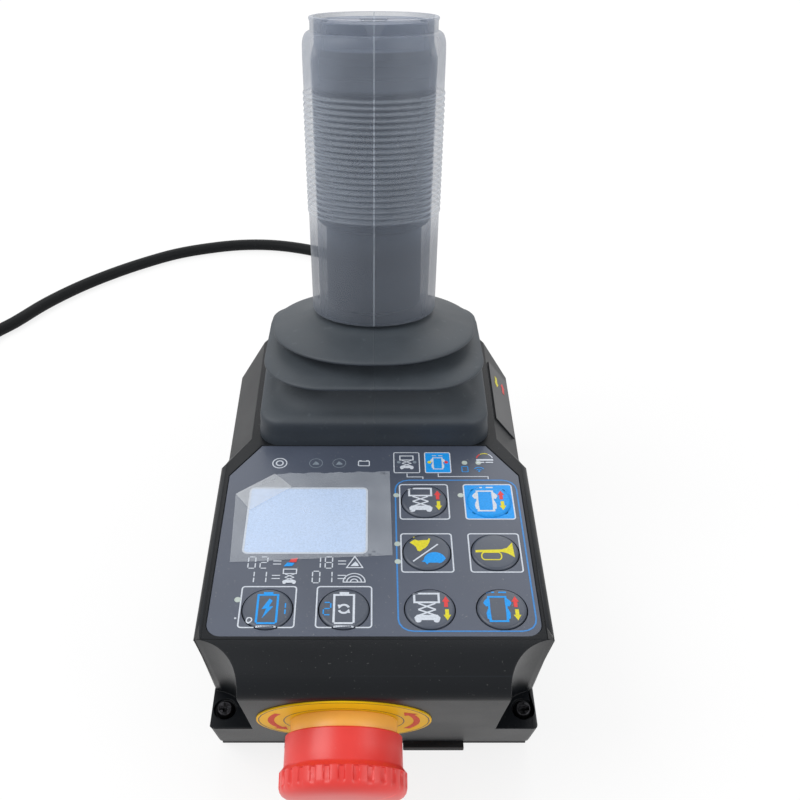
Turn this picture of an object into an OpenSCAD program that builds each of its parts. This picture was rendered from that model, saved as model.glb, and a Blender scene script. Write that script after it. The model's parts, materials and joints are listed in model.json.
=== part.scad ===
// Control box for a scissor lift: a console with a joystick, eight keys, a display and an emergency stop.
// X runs to the right, Y away from the operator and Z up. The base plate's underside is at Z = 0.

/* [Housing] */
// Width across the side walls
body_w = 118; // [114:1:124]
// Height of the flat control panel above the surface that the box stands on
panel_z = 80; // [78:1:90]
// Length of the flat top, from the front edge line to the rear wall
top_d = 188; // [186:1:200]
// How far the rounded nose stands out in front of the flat top
nose_out = 16; // [14:0.5:18]
// Height of the nose curve, from the panel down to its tip
nose_h = 9; // [8:0.5:11]
// Angle of the front face, which is cut back under the nose
front_lean = 22.5; // [20:0.5:24]
// Thickness of the moulded walls
wall = 2.5; // [2.2:0.1:3]
// Radius that rounds the long top edges
edge_r = 3; // [2:0.5:4]

/* [Shoulders and corners] */
// Width of the sloping shoulder along each side, seen from above
shoulder_w = 10.5; // [9:0.5:11]
// Height of the shoulders
shoulder_h = 14; // [12:0.5:16]
// Width of the shoulders behind the joystick, seen from above
rear_shoulder_w = 5; // [4.5:0.5:7]
// Distance from the front edge line to where the flat top has reached its narrow width
narrow_d = 98; // [96:1:102]
// Angle in plan at which the shoulders and the rear corners are cut
corner_angle = 30; // [26:1:32]
// Length of the rear corner cut along the side
corner_run = 33; // [28:1:34]
// Radius of the scooped pocket at each front corner
pocket_r = 16.5; // [15:0.5:18]
// Angle at which the pocket leans back
pocket_lean = 18.5; // [16:0.5:20]
// How far the pocket's centre lies in front of the front edge line, at the panel
pocket_out = 17; // [16:0.5:18]
// Height of the pocket's floor above the bottom of the housing
pocket_floor = 24; // [20:1:26]

/* [Base] */
// Thickness of the steel base plate
plate_t = 2; // [1.5:0.5:3]
// Thickness of the seal between plate and housing
seal_t = 0.8; // [0.6:0.1:1.2]
// Width of each tab on the plate's front edge
tab_w = 23; // [18:1:26]
// Distance between the tabs' centres
tab_pitch = 45; // [40:1:50]
// Distance between the mounting holes, left to right
mount_x = 60; // [50:1:70]
// Distance between the mounting holes, front to back
mount_y = 120; // [100:1:130]
// Diameter of each mounting hole
mount_d = 6.6; // [5.5:0.1:7]
// Diameter of the corner screws
screw_d = 4; // [3:0.5:4]
// Diameter of the corner screws' heads
screw_head_d = 7; // [6:0.5:8]

/* [Panel] */
// Margin between the side walls and the overlay film
film_margin = 4; // [3.5:0.5:6]
// Depth of the recess that holds the overlay
recess = 0.9; // [0.8:0.1:1.1]
// Thickness of the overlay film
film_t = 0.6; // [0.4:0.1:0.7]
// Diameter of a key's dome
key_d = 16.6; // [15:0.2:17]
// Height of a key's dome above the overlay
key_rise = 1.3; // [1:0.1:1.6]
// Travel of a key
key_travel = 0.5; // [0.3:0.1:0.6]
// Distance from the front edge line to the first row of keys
key_row_y = 12.6; // [12:0.1:14]

/* [Joystick] */
// Distance from the front edge line to the pivot shaft
pivot_d = 132; // [130:1:134]
// Depth of the pivot shaft below the panel
pivot_drop = 6; // [5:0.5:7]
// Lean of the lever away from the operator, at rest
lever_lean = 15; // [12:1:16]
// Diameter of the pivot shaft
shaft_d = 6; // [5:0.5:7]
// Diameter of the lever's rod
rod_d = 12; // [10:0.5:13]
// Distance from the pivot to the lower edge of the grip
grip_z = 40.4; // [40:0.2:43]
// Length of the grip
grip_len = 112; // [105:1:118]
// Diameter of the grip at its lower edge
grip_low_d = 49.6; // [48:0.2:51]
// Diameter of the grip at its shoulder
grip_top_d = 53.3; // [52:0.1:55]
// Diameter of the grip's neck
neck_d = 47.4; // [46:0.2:49]
// Thickness of the grip's clear sleeve
sleeve_t = 3; // [2.5:0.1:3.4]
// Number of ribs round the grip
ribs = 21; // [15:1:24]
// Height of a rib
rib_rise = 0.4; // [0.3:0.1:0.6]
// Width of the boot's square foot
boot_w = 91; // [89:1:92]
// Length of the boot's square foot
boot_d = 82; // [80:1:83]
// Height of the boot, from the panel to the grip
boot_h = 33; // [32:0.5:34]

/* [Emergency stop] */
// Place of its middle, left of the box's middle
stop_x = 10.3; // [8:0.1:14]
// Depth of its middle below the panel
stop_drop = 38; // [36:0.5:40]
// Diameter of the round label
stop_label_d = 60; // [56:1:62]
// Diameter of the collar
collar_d = 36.6; // [35:0.2:37.2]
// Diameter of the head's skirt
skirt_d = 40.2; // [40:0.1:41]
// Diameter of the head
stop_d = 43; // [42:0.5:45]
// Length of the collar that shows
collar_gap = 5.2; // [5:0.1:5.5]
// Length of the skirt
skirt_len = 10.6; // [10:0.1:11]
// Length of the grooved rim
rim_len = 7.8; // [7:0.1:8]
// Rise of the domed front
dome_h = 3; // [2.5:0.1:3.5]
// Number of grooves round the head
grooves = 28; // [24:1:30]
// Travel of the head when it is pushed in
stop_travel = 4.5; // [4:0.1:4.6]
// Diameter of the hole in the front face
stop_bore = 22.4; // [22.3:0.1:22.6]

/* [Cord] */
// Diameter of the cord
cord_d = 7; // [7:0.1:7.2]
// Turns in the coil that is put away
coil_turns = 4.5; // [3.5:1:6.5]
// Least gap between turns
coil_gap = 0.6; // [0.5:0.1:0.8]
// Inner radius of the coil, at the middle of the cord
coil_r = 31.5; // [30:0.5:34]
// Height of the gland's centre
gland_z = 24; // [22:1:28]
// Place of the gland, right of the middle
gland_x = 10; // [8:1:12]
// Diameter of the gland's thread
gland_d = 16; // [16:0.1:16.4]

/* [Clearances] */
// Gap between a shaft and its bore
run_gap = 0.05; // [0.02:0.01:0.08]
// Gap between pieces that slip past each other
slip_gap = 0.4; // [0.3:0.05:0.5]
// Gap between pieces that are seated on each other
seat_gap = 0.05; // [0.03:0.01:0.1]

/* [Hidden] */
$fn = 64;

// One millimetre, for small places that follow no other size
unit = 1;
// Overrun of every cut, past the face that it starts from
over = 1;
// Length that reaches right through the box
through = 3 * top_d;
// Row of the front edge line, where the flat panel turns down into the nose
front_y = -100;
rear_y = front_y + top_d;
pivot_y = front_y + pivot_d;
pivot_z = panel_z - pivot_drop;
housing_z = plate_t + seal_t;
film_z = panel_z - recess;
film_top = film_z + film_t;

boot_shift = 3;
boot_y = front_y + pivot_d + boot_shift;

// Nose curve and front face

// Turn along the nose's quarter ellipse at which it meets the straight front face
function nose_end(i) = 180 - atan((nose_out - i) / ((nose_h - i) * tan(front_lean)));
// How far the front face lies in front of the front edge line, at a depth below the panel
function face_out(depth, i = 0) =
    (nose_out - i) * sin(nose_end(i))
    - (depth - nose_h + (nose_h - i) * cos(nose_end(i))) * tan(front_lean);
nose_steps = 18;

// Outline of the housing from the side, drawn in by an inset
function side_points(i, low) = concat(
    [for (k = [0 : nose_steps])
        let (t = nose_end(i) * k / nose_steps)
        [front_y - (nose_out - i) * sin(t), panel_z - nose_h + (nose_h - i) * cos(t)]],
    [[front_y - face_out(panel_z - low, i), low], [rear_y - i, low], [rear_y - i, panel_z - i]]
);

// Extrudes an outline of Y and Z right across the box
module across(w) {
    translate([-w / 2, 0, 0]) rotate([90, 0, 90]) linear_extrude(w) children();
}

// Outline of the housing from the front, with its top edges rounded
module front_outline(i, low) {
    w = body_w - 2 * i;
    r = edge_r;
    translate([-w / 2, low]) square([w, panel_z - i - low - r]);
    translate([-w / 2 + r, low]) square([w - 2 * r, panel_z - i - low]);
    for (s = [-1, 1]) translate([s * (w / 2 - r), panel_z - i - r]) circle(r);
}

// Outline of the housing from above, with its rear corners cut off
module plan_outline(i) {
    w = body_w / 2 - i;
    corner_y = rear_y - corner_run - i * tan(corner_angle / 2);
    corner_x = body_w / 2 - (i + (corner_run - i) * sin(corner_angle)) / cos(corner_angle);
    front = front_y - nose_out - over;
    polygon([[-w, front], [w, front], [w, corner_y], [corner_x, rear_y - i], [-corner_x, rear_y - i],
        [-w, corner_y]]);
}

// Wedge whose sloping face is a shoulder: X points outward from the edge line, Z is zero at the panel
module shoulder_cut(w, i, reach) {
    slope = sqrt(w * w + shoulder_h * shoulder_h);
    translate([-i * slope / shoulder_h, through / 2, 0]) rotate([90, 0, 0]) linear_extrude(through)
        polygon([[-2 * w, shoulder_h], [reach * w, -shoulder_h * (1 + reach)], [reach * w, shoulder_h]]);
}

// Everything above the shoulders of one side
module side_shoulders(i) {
    side_reach = 1;
    far_reach = 14;
    intersection() {
        translate([body_w / 2, 0, panel_z]) shoulder_cut(shoulder_w, i, side_reach);
        translate([body_w / 2 - shoulder_w, front_y + narrow_d, panel_z]) rotate([0, 0, corner_angle])
            translate([shoulder_w, 0, 0]) shoulder_cut(shoulder_w, i, far_reach);
    }
    translate([body_w / 2, rear_y - corner_run, panel_z]) rotate([0, 0, corner_angle])
        shoulder_cut(rear_shoulder_w, i, side_reach);
}

// Scooped pocket that leads a screwdriver down to a corner screw
module pocket(i) {
    floor_z = housing_z + pocket_floor - i;
    intersection() {
        translate([body_w / 2 + unit, front_y - pocket_out, panel_z]) rotate([pocket_lean, 0, 0])
            cylinder(r = pocket_r + i, h = through, center = true);
        translate([0, front_y - through / 2, floor_z]) cube([through, through, through]);
    }
}

// Solid shape of the housing, drawn in by an inset
module body_form(i, low) {
    difference() {
        intersection() {
            across(body_w) polygon(side_points(i, low));
            translate([0, rear_y + over, 0]) rotate([90, 0, 0]) linear_extrude(through)
                front_outline(i, low);
            translate([0, 0, low]) linear_extrude(through) plan_outline(i);
        }
        for (s = [0, 1]) mirror([s, 0, 0]) {
            side_shoulders(i);
            pocket(i);
        }
        translate([0, rear_y, panel_z]) rotate([0, 0, 90]) shoulder_cut(rear_shoulder_w, i, 1);
    }
}

// Places and sizes on the panel, from the housing's width and the film's length

film_w = body_w - 2 * film_margin;
film_front = 1.5;
film_d = pivot_d + boot_shift - boot_d / 2 - film_front;
key_pitch_x = 0.2034 * body_w;
key_col_x = 0.1576 * body_w;
battery_key_x = 0.085 * body_w;
battery_pitch = 0.216 * body_w;
key_pitch_y = 0.2735 * film_d;
screen_w = 0.3644 * body_w;
screen_h = 0.346 * film_d;
screen_x = 0.2068 * body_w;
screen_y = 0.584 * film_d;

// Middle of each key, in the order of the keys' nodes
key_places = [
    [key_col_x, key_row_y + 2 * key_pitch_y], [key_col_x + key_pitch_x, key_row_y + 2 * key_pitch_y],
    [key_col_x, key_row_y + key_pitch_y], [key_col_x + key_pitch_x, key_row_y + key_pitch_y],
    [key_col_x, key_row_y], [key_col_x + key_pitch_x, key_row_y],
    [-battery_key_x - battery_pitch, key_row_y], [-battery_key_x, key_row_y]
];
// Indicator lenses beside the keys and behind them
lens_d = 2.2;
lens_off = key_d * 0.62;
lens_places = [
    [key_col_x - lens_off, key_row_y + 2 * key_pitch_y + key_d / 5],
    [key_col_x + key_pitch_x - lens_off, key_row_y + 2 * key_pitch_y + key_d / 5],
    [key_col_x - lens_off, key_row_y + key_pitch_y + key_d / 4],
    [key_col_x - lens_off, key_row_y + key_pitch_y - key_d / 4],
    [-battery_key_x - battery_pitch - lens_off, key_row_y + key_d / 4],
    [key_col_x + key_pitch_x - lens_off * 0.74, key_row_y + 3 * key_pitch_y - key_d / 4],
    [key_col_x + key_pitch_x - lens_off * 0.22, key_row_y + 3 * key_pitch_y - key_d / 4]
];

module at_places(places, z) {
    for (p = places) translate([p[0], front_y + p[1], z]) children();
}

// Outline of the overlay film, with its rear corners cut and its front corners rounded
film_cut_x = 11;
film_cut_y = 17;
film_r = 5;
module film_outline(i) {
    w = film_w / 2 - i;
    front = front_y + film_front + i;
    back = front_y + film_front + film_d - i;
    difference() {
        polygon([[-w, front], [w, front], [w, back - film_cut_y], [w - film_cut_x, back],
            [-w + film_cut_x, back], [-w, back - film_cut_y]]);
        for (s = [-1, 1]) difference() {
            translate([s * w - film_r, front - film_r]) square(2 * film_r);
            translate([s * (w - film_r), front + film_r]) circle(film_r);
            translate([s * (w - film_r) - film_r, front + film_r]) square(2 * film_r);
            translate([s * (w - 2 * film_r) - film_r, front - film_r]) square(2 * film_r);
        }
    }
}

key_hole_d = key_d + 2 * slip_gap;
key_stem_d = 5;
key_floor = film_z - key_travel - slip_gap / 4;

// Display

module screen_place(z) {
    translate([-screen_x, front_y + screen_y, z]) children();
}
module centred_box(size) {
    translate([-size[0] / 2, -size[1] / 2, 0]) cube(size);
}
lcd_border = 3;
lcd_t = 4;

// Emergency stop: its own frame has Z pointing out of the front face
module at_stop() {
    translate([-stop_x, front_y - face_out(stop_drop), panel_z - stop_drop]) rotate([90 + front_lean, 0, 0])
        children();
}
barrel_d = stop_bore - 2 * run_gap;
barrel_bore = 14;
barrel_len = 20;
stem_d = barrel_bore - 2 * run_gap;
label_t = 0.5;
nut_t = 4;
nut_d = 30;
block_size = [24, 18, 22];

// Joystick: its own frame has Z along the lever and its origin on the pivot
module at_lever() {
    translate([0, pivot_y, pivot_z]) rotate([-lever_lean, 0, 0]) children();
}
module along_x(x0, len) {
    translate([x0, 0, 0]) rotate([0, 90, 0]) cylinder(d = $bore, h = len);
}
cheek_x = 24;
cheek_t = 4;
cheek_w = 26;
cheek_drop = 12;
bush_d = 10;
hub_d = 16;
hub_w = 30;
frame_t = 2.5;
frame_gap = 2;
frame_ring = 4;
boot_t = 1.6;
opening_w = cheek_x * 2 + cheek_t * 2 + 2 * frame_gap;
opening_d = 54;

module housing_bosses() {
    boss_d = 9;
    at_pockets() translate([0, 0, -front_reach]) cylinder(d = boss_d, h = front_reach);
    for (s = [-1, 1]) {
        translate([s * rear_screw_x, rear_screw_y, housing_z]) cylinder(d = boss_d, h = rear_boss_h);
    }
}
corner_screw_x = body_w / 2 - 5 * unit;
corner_screw_y = front_y + 10 * unit;
front_reach = (housing_z + pocket_floor) / cos(pocket_lean);
spot_depth = screw_head_d / 2 * tan(pocket_lean) + unit / 2;
// Places a part on the floor of each front pocket, leaning as the pocket does
module at_pockets() {
    for (s = [-1, 1])
        translate([s * corner_screw_x, corner_screw_y, housing_z + pocket_floor])
            rotate([pocket_lean, 0, 0]) children();
}
rear_screw_x = body_w / 2 - 24 * unit;
rear_screw_y = rear_y - 6 * unit;
rear_boss_h = 30;

// Board hung under the panel on posts
board_z = 69.6;
board_drop = 10.4;
board_t = 1.6;
board_w = body_w - 22 * unit;
board_d = film_d - 12.5 * unit;
board_y = front_y + 8 * unit;
board_top = panel_z - board_drop + board_t;
post_d = 7;
post_places = [for (x = [-0.46, 0.46]) for (y = [0.2, 0.94]) [x * board_w, y * board_d]];
board_screw_d = 3;

module upper_housing() color([0.09, 0.095, 0.1]) {
    difference() {
        union() {
            difference() {
                body_form(0, housing_z);
                body_form(wall, -over);
            }
            intersection() {
                body_form(0, housing_z);
                housing_bosses();
            }
            for (p = post_places) translate([p[0], board_y + p[1], board_top])
                cylinder(d = post_d, h = panel_z - wall - board_top + wall / 3);
        }
        translate([0, 0, film_z]) linear_extrude(through) film_outline(-seat_gap);
        at_places(key_places, key_floor) cylinder(d = key_hole_d, h = through);
        at_places(key_places, board_top) cylinder(d = key_stem_d + 2 * slip_gap, h = through);
        at_places(lens_places, board_top) cylinder(d = lens_d + 2 * seat_gap, h = through);
        screen_place(panel_z - wall - over)
            centred_box([screen_w + 2 * seat_gap, screen_h + 2 * seat_gap, through]);
        translate([0, boot_y, panel_z - wall - over]) centred_box([opening_w, opening_d, through]);
        translate([0, boot_y, panel_z - shoulder_h]) frame_screw_holes(screw_d - unit);
        at_stop() cylinder(d = stop_bore, h = 4 * wall, center = true);
        translate([gland_x, rear_y, gland_z]) rotate([90, 0, 0])
            cylinder(d = gland_d + 2 * run_gap, h = 4 * wall, center = true);
        for (s = [-1, 1]) {
            translate([s * rear_screw_x, rear_screw_y, 0]) cylinder(d = screw_d - unit, h = rear_boss_h);
        }
        at_pockets() translate([0, 0, -front_reach]) cylinder(d = screw_d + slip_gap, h = front_reach);
        at_pockets() translate([0, 0, -spot_depth]) cylinder(d = screw_head_d + unit, h = 3 * spot_depth);
        for (p = post_places) translate([p[0], board_y + p[1], board_top - over])
            cylinder(d = board_screw_d - seat_gap, h = post_depth + over);
    }
}
post_depth = 4.5;

// Outline of the base plate: the housing's bottom rim, with two tabs at the front
module plate_outline(i) {
    front = front_y - face_out(panel_z - housing_z) + i;
    intersection() {
        plan_outline(i);
        translate([-body_w / 2, front]) square([body_w, top_d]);
    }
}

module base_holes(d, front_d) {
    foot_y = corner_screw_y + (pocket_floor + seal_t / 2) * tan(pocket_lean);
    for (s = [-1, 1]) {
        if (front_d > 0) translate([s * corner_screw_x, foot_y]) circle(d = front_d);
        translate([s * rear_screw_x, rear_screw_y]) circle(d = d);
    }
}

plate_inset = 1.2;
tab_out = 4;
module base_plate() color([0.13, 0.13, 0.14]) {
    front = front_y - face_out(panel_z - housing_z);
    difference() {
        linear_extrude(plate_t) difference() {
            union() {
                plate_outline(plate_inset);
                for (s = [-1, 1]) translate([s * tab_pitch / 2 - tab_w / 2, front - tab_out / 2])
                    square([tab_w, tab_out]);
            }
            base_holes(screw_d + slip_gap, 0);
            for (x = [-1, 1]) for (y = [-1, 1])
                translate([x * mount_x / 2, y * mount_y / 2]) circle(d = mount_d);
        }
        at_pockets() translate([0, 0, -front_reach - unit])
            cylinder(d = screw_d - seat_gap, h = front_reach);
    }
}

seal_w = 5;
module base_gasket() color([0.05, 0.05, 0.05]) translate([0, 0, plate_t]) linear_extrude(seal_t)
    difference() {
        plate_outline(plate_inset);
        difference() {
            plate_outline(plate_inset + seal_w);
            base_holes(2 * screw_head_d, 2 * screw_head_d);
        }
        base_holes(screw_d + slip_gap, screw_d + slip_gap + unit);
    }

// Pan-head screw with its head's underside at Z = 0, pointing down
module pan_screw(d, head_d, len) {
    head_h = head_d * 0.4;
    difference() {
        union() {
            cylinder(d1 = head_d, d2 = head_d * 0.7, h = head_h);
            translate([0, 0, -len]) cylinder(d = d, h = len);
        }
        for (a = [0, 90]) rotate([0, 0, a]) translate([0, 0, head_h])
            cube([head_d * 0.6, d / 4, head_h], center = true);
    }
}

module corner_screws() color([0.35, 0.35, 0.37]) {
    tip = (seat_gap + screw_d / 2 * sin(pocket_lean)) / cos(pocket_lean);
    at_pockets() translate([0, 0, seat_gap - spot_depth])
        pan_screw(screw_d - 2 * seat_gap, screw_head_d, front_reach - tip - spot_depth);
    for (s = [-1, 1])
        translate([s * rear_screw_x, rear_screw_y, -seat_gap]) mirror([0, 0, 1])
            translate([0, 0, -plate_t]) pan_screw_flush();
}
// Countersunk screw whose head lies inside the plate
module pan_screw_flush() {
    translate([0, 0, -rear_boss_h / 2])
        cylinder(d = screw_d - unit - 2 * seat_gap, h = rear_boss_h / 2 + plate_t);
    cylinder(d = screw_d, h = plate_t - seat_gap);
}

module panel_overlay() color([0.2, 0.22, 0.26]) translate([0, 0, film_z]) linear_extrude(film_t)
    difference() {
        film_outline(seat_gap);
        for (p = key_places) translate([p[0], front_y + p[1]]) circle(d = key_hole_d);
        for (p = lens_places) translate([p[0], front_y + p[1]]) circle(d = lens_d + 2 * seat_gap);
        translate([-screen_x - screen_w / 2 - seat_gap, front_y + screen_y - screen_h / 2 - seat_gap])
            square([screen_w + 2 * seat_gap, screen_h + 2 * seat_gap]);
    }

module display_window() color([0.75, 0.82, 0.9]) screen_place(panel_z - wall - seat_gap)
    centred_box([screen_w - seat_gap, screen_h - seat_gap, film_top - panel_z + wall]);

module display_module() color([0.35, 0.4, 0.42]) screen_place(panel_z - wall - lcd_t - 3 * seat_gap)
    centred_box([screen_w + 2 * lcd_border, screen_h + 2 * lcd_border, lcd_t]);

// Loose protective film over the display, a thin crooked sheet
sheet_t = 0.25;
sheet_points_share = [[-0.59, -0.62], [0.59, -0.6], [0.6, 0.68], [-0.36, 0.7], [-0.56, 0.3]];
module screen_film() color([0.62, 0.65, 0.66]) screen_place(film_top + seat_gap) linear_extrude(sheet_t)
    polygon([for (p = sheet_points_share) [p[0] * screen_w, p[1] * screen_h]]);

module indicator_lenses() color([0.85, 0.88, 0.9]) at_places(lens_places, board_top + 4 * unit)
    cylinder(d = lens_d, h = film_top + seat_gap - board_top - 4 * unit);

// Thin label on the right shoulder
label_len = 38;
module shoulder_label() color([0.06, 0.06, 0.07]) {
    slope = sqrt(shoulder_w * shoulder_w + shoulder_h * shoulder_h);
    translate([body_w / 2 - shoulder_w / 2, front_y + narrow_d + 33 * unit, panel_z - shoulder_h / 2])
        rotate([0, atan(shoulder_h / shoulder_w), 0])
        translate([0, 0, seat_gap]) centred_box([slope * 0.8, label_len, label_t]);
}

module circuit_board() color([0.05, 0.25, 0.12]) difference() {
    translate([-board_w / 2, board_y, board_top - board_t - seat_gap]) cube([board_w, board_d, board_t]);
    for (p = post_places) translate([p[0], board_y + p[1], 0])
        cylinder(d = board_screw_d + slip_gap, h = panel_z);
    screen_place(0)
        centred_box([screen_w + 2 * lcd_border + slip_gap, screen_h + 2 * lcd_border + slip_gap, panel_z]);
}

module board_screws() color([0.6, 0.6, 0.62]) for (p = post_places)
    translate([p[0], board_y + p[1], board_top - board_t - 2 * seat_gap]) mirror([0, 0, 1])
        pan_screw(board_screw_d - 3 * seat_gap, 2 * board_screw_d, board_t + post_depth - 6 * seat_gap);

// Tactile switches that stand on the board, one under each key
switch_w = 6;
switch_h = 3;
plunger_d = 3.4;
stem_low = board_top + 4.4 * unit;
module key_switches() color([0.12, 0.12, 0.12]) at_places(key_places, board_top) {
    centred_box([switch_w, switch_w, switch_h]);
    cylinder(d = plunger_d, h = stem_low - board_top - key_travel - seat_gap);
}

// Key: a low dome on a stem that reaches its switch
module key(place) color([0.13, 0.14, 0.17]) translate([place[0], front_y + place[1], 0]) {
    dome_z = film_z + seat_gap;
    edge = key_d * 0.04;
    translate([0, 0, dome_z]) cylinder(d = key_d, h = film_t);
    translate([0, 0, dome_z + film_t]) cylinder(d1 = key_d, d2 = key_d - 3 * edge, h = key_rise * 0.6);
    translate([0, 0, dome_z + film_t + key_rise * 0.6])
        cylinder(d1 = key_d - 3 * edge, d2 = key_d * 0.6, h = key_rise * 0.4 - seat_gap);
    translate([0, 0, stem_low]) cylinder(d = key_stem_d, h = dome_z - stem_low + film_t / 2);
}
module lift_key() key(key_places[0]);
module drive_key() key(key_places[1]);
module speed_key() key(key_places[2]);
module horn_key() key(key_places[3]);
module lift_mode_key() key(key_places[4]);
module drive_mode_key() key(key_places[5]);
module battery_save_key() key(key_places[6]);
module battery_cycle_key() key(key_places[7]);

module stop_label() color([0.9, 0.72, 0.05]) at_stop() difference() {
    translate([0, 0, seat_gap]) cylinder(d = stop_label_d, h = label_t);
    cylinder(d = stop_bore + slip_gap, h = 2 * over);
}

collar_hidden = 3;
module stop_collar() color([0.95, 0.7, 0.1]) at_stop() difference() {
    translate([0, 0, label_t + 2 * seat_gap]) cylinder(d = collar_d, h = collar_gap + collar_hidden);
    cylinder(d = stop_bore, h = through, center = true);
}

module stop_barrel() color([0.1, 0.1, 0.1]) at_stop() difference() {
    translate([0, 0, -barrel_len]) cylinder(d = barrel_d, h = barrel_len + label_t + collar_gap);
    cylinder(d = barrel_bore, h = through, center = true);
}

module stop_nut() color([0.2, 0.2, 0.2]) at_stop() difference() {
    translate([0, 0, -wall - nut_t - seat_gap]) cylinder(d = nut_d, h = nut_t, $fn = 6);
    cylinder(d = stop_bore, h = through, center = true);
}

// Depth of the well in the contact block, into which the stem moves
well_d = stop_travel + slip_gap;
module stop_contacts() color([0.15, 0.15, 0.15]) at_stop() difference() {
    translate([0, 0, -barrel_len - block_size[2] - seat_gap]) centred_box(block_size);
    translate([0, 0, -barrel_len - well_d]) cylinder(d = barrel_bore, h = well_d + over);
}

skirt_z = label_t + collar_gap;
rim_z = skirt_z + skirt_len;
module stop_stem() color([0.75, 0.1, 0.08]) at_stop() {
    translate([0, 0, -barrel_len]) cylinder(d = stem_d, h = barrel_len + rim_z + rim_len / 2 - seat_gap);
}

// Rounded front of the head: radius and height, as shares
dome_share = [
    [1, 0], [0.988, 0.22], [0.955, 0.42], [0.9, 0.58], [0.82, 0.71], [0.7, 0.82], [0.52, 0.92], [0.3, 0.98],
    [0, 1]
];
rim_edge = 1.4;
groove_w = 2;
module stop_head() color([0.85, 0.12, 0.1]) at_stop() difference() {
    inner_r = collar_d / 2 + slip_gap;
    stem_r = stem_d / 2 + run_gap;
    r = stop_d / 2;
    dome_z = rim_z + rim_len - rim_edge;
    rotate_extrude() polygon(concat(
        [[inner_r, skirt_z], [skirt_d / 2 - slip_gap / 2, skirt_z], [skirt_d / 2, rim_z],
            [r, rim_z + rim_edge]],
        [for (p = dome_share) [r * p[0], dome_z + (dome_h + rim_edge) * p[1]]],
        [[0, rim_z + rim_len / 2], [stem_r, rim_z + rim_len / 2], [stem_r, rim_z], [inner_r, rim_z]]));
    for (k = [0 : grooves - 1]) rotate([0, 0, 360 * k / grooves])
        translate([r, 0, rim_z + rim_edge * 1.3]) centred_box([rim_edge, groove_w, rim_len - 2.6 * rim_edge]);
}

// Rubber boot: rings that run up the outside and back down the inside

// Each ring: height, lean, half width, half length and corner radius, as shares of the boot's own sizes
outer_share = [
    [0, 0, 1, 1, 0.22], [0.3, 0, 0.985, 0.98, 0.22], [0.345, 0, 0.95, 0.945, 0.24],
    [0.39, 0.1, 0.84, 0.84, 0.4], [0.49, 0.4, 0.72, 0.76, 0.6], [0.55, 0.58, 0.92, 0.96, 0.6],
    [0.585, 0.6, 0.965, 1.005, 0.62],
    [0.625, 0.62, 0.93, 0.965, 0.62], [0.69, 0.8, 0.73, 0.8, 0.8], [0.745, 0.9, 0.86, 0.955, 0.92],
    [0.775, 0.9, 0.9, 1, 0.93], [0.81, 0.92, 0.87, 0.965, 0.93], [0.9, 1, 0.62, 0.69, 0.95],
    [0.965, 1, 0.5, 0.555, 0.95], [0.978, 1, 0.2, 0.22, 0.95]
];
inner_share = [
    [0.978, 1, 0.15, 0.166, 0.95], [0.92, 1, 0.4, 0.44, 0.95], [0.8, 0.95, 0.6, 0.67, 0.9],
    [0.48, 0.4, 0.66, 0.7, 0.6], [0.33, 0, 0.8, 0.8, 0.3], [0.28, 0, 0.95, 0.945, 0.22],
    [0, 0, 0.96, 0.955, 0.2]
];
corner_steps = 9;

// Points of a rounded rectangle, the same number for every size
function ring_outline(hw, hd, r) = [
    for (k = [0 : 3]) for (j = [0 : corner_steps - 1])
        let (a = 90 * k + 90 * j / (corner_steps - 1), sx = (k == 0 || k == 3) ? 1 : -1, sy = k < 2 ? 1 : -1)
        [sx * (hw - r) + r * cos(a), sy * (hd - r) + r * sin(a)]
];
// One ring of the boot, tilted about its own centre and moved along the lever's line
function boot_ring(row) =
    let (z = row[0] * boot_h, tilt = row[1] * lever_lean,
         hw = row[2] * boot_w / 2, hd = row[3] * boot_d / 2, r = row[4] * min(hw, hd),
         line_y = pivot_y + (z + pivot_drop) * tan(lever_lean), y0 = boot_y + row[1] * (line_y - boot_y))
    [for (p = ring_outline(hw, hd, r)) [p[0], y0 + p[1] * cos(tilt), panel_z + z - p[1] * sin(tilt)]];

// Triangles between rings of points, each ring joined to the next and the last to the first
function loop_faces(rings, sides) = [
    for (i = [0 : rings - 1]) for (j = [0 : sides - 1])
        let (a = i * sides + j, b = i * sides + (j + 1) % sides,
             c = ((i + 1) % rings) * sides + j, d = ((i + 1) % rings) * sides + (j + 1) % sides)
        each [[a, c, b], [b, c, d]]
];
module rubber_boot() color([0.1, 0.12, 0.15]) {
    rings = [for (row = concat(outer_share, inner_share)) boot_ring(row)];
    translate([0, 0, seat_gap])
        polyhedron([for (ring = rings) each ring], loop_faces(len(rings), 4 * corner_steps));
}

// Frame that holds the boot's foot, round the joystick base's flange
flange_w = 74;
flange_d = 66;
frame_w = flange_w + 2 * (frame_ring + seat_gap);
frame_d = flange_d + 2 * (frame_ring + seat_gap);
module boot_frame() color([0.15, 0.15, 0.16]) translate([0, boot_y, panel_z + seat_gap]) difference() {
    centred_box([frame_w - 2 * slip_gap, frame_d - 2 * slip_gap, frame_t]);
    translate([0, 0, -over])
        centred_box([flange_w + 2 * seat_gap, flange_d + 2 * seat_gap, frame_t + 2 * over]);
}

module frame_screw_holes(d) {
    for (x = [-1, 1]) for (y = [-1, 1])
        translate([x * (opening_w + flange_w) / 4, y * flange_d * 0.44, 0]) cylinder(d = d, h = through);
}

frame_top = panel_z + frame_t + 2 * seat_gap;
module frame_screws() color([0.6, 0.6, 0.62]) for (x = [-1, 1]) for (y = [-1, 1])
    translate([x * (opening_w + flange_w) / 4, boot_y + y * flange_d * 0.44, frame_top])
        pan_screw(screw_d - unit - 2 * seat_gap, screw_head_d * 0.7, frame_t + wall);

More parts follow.
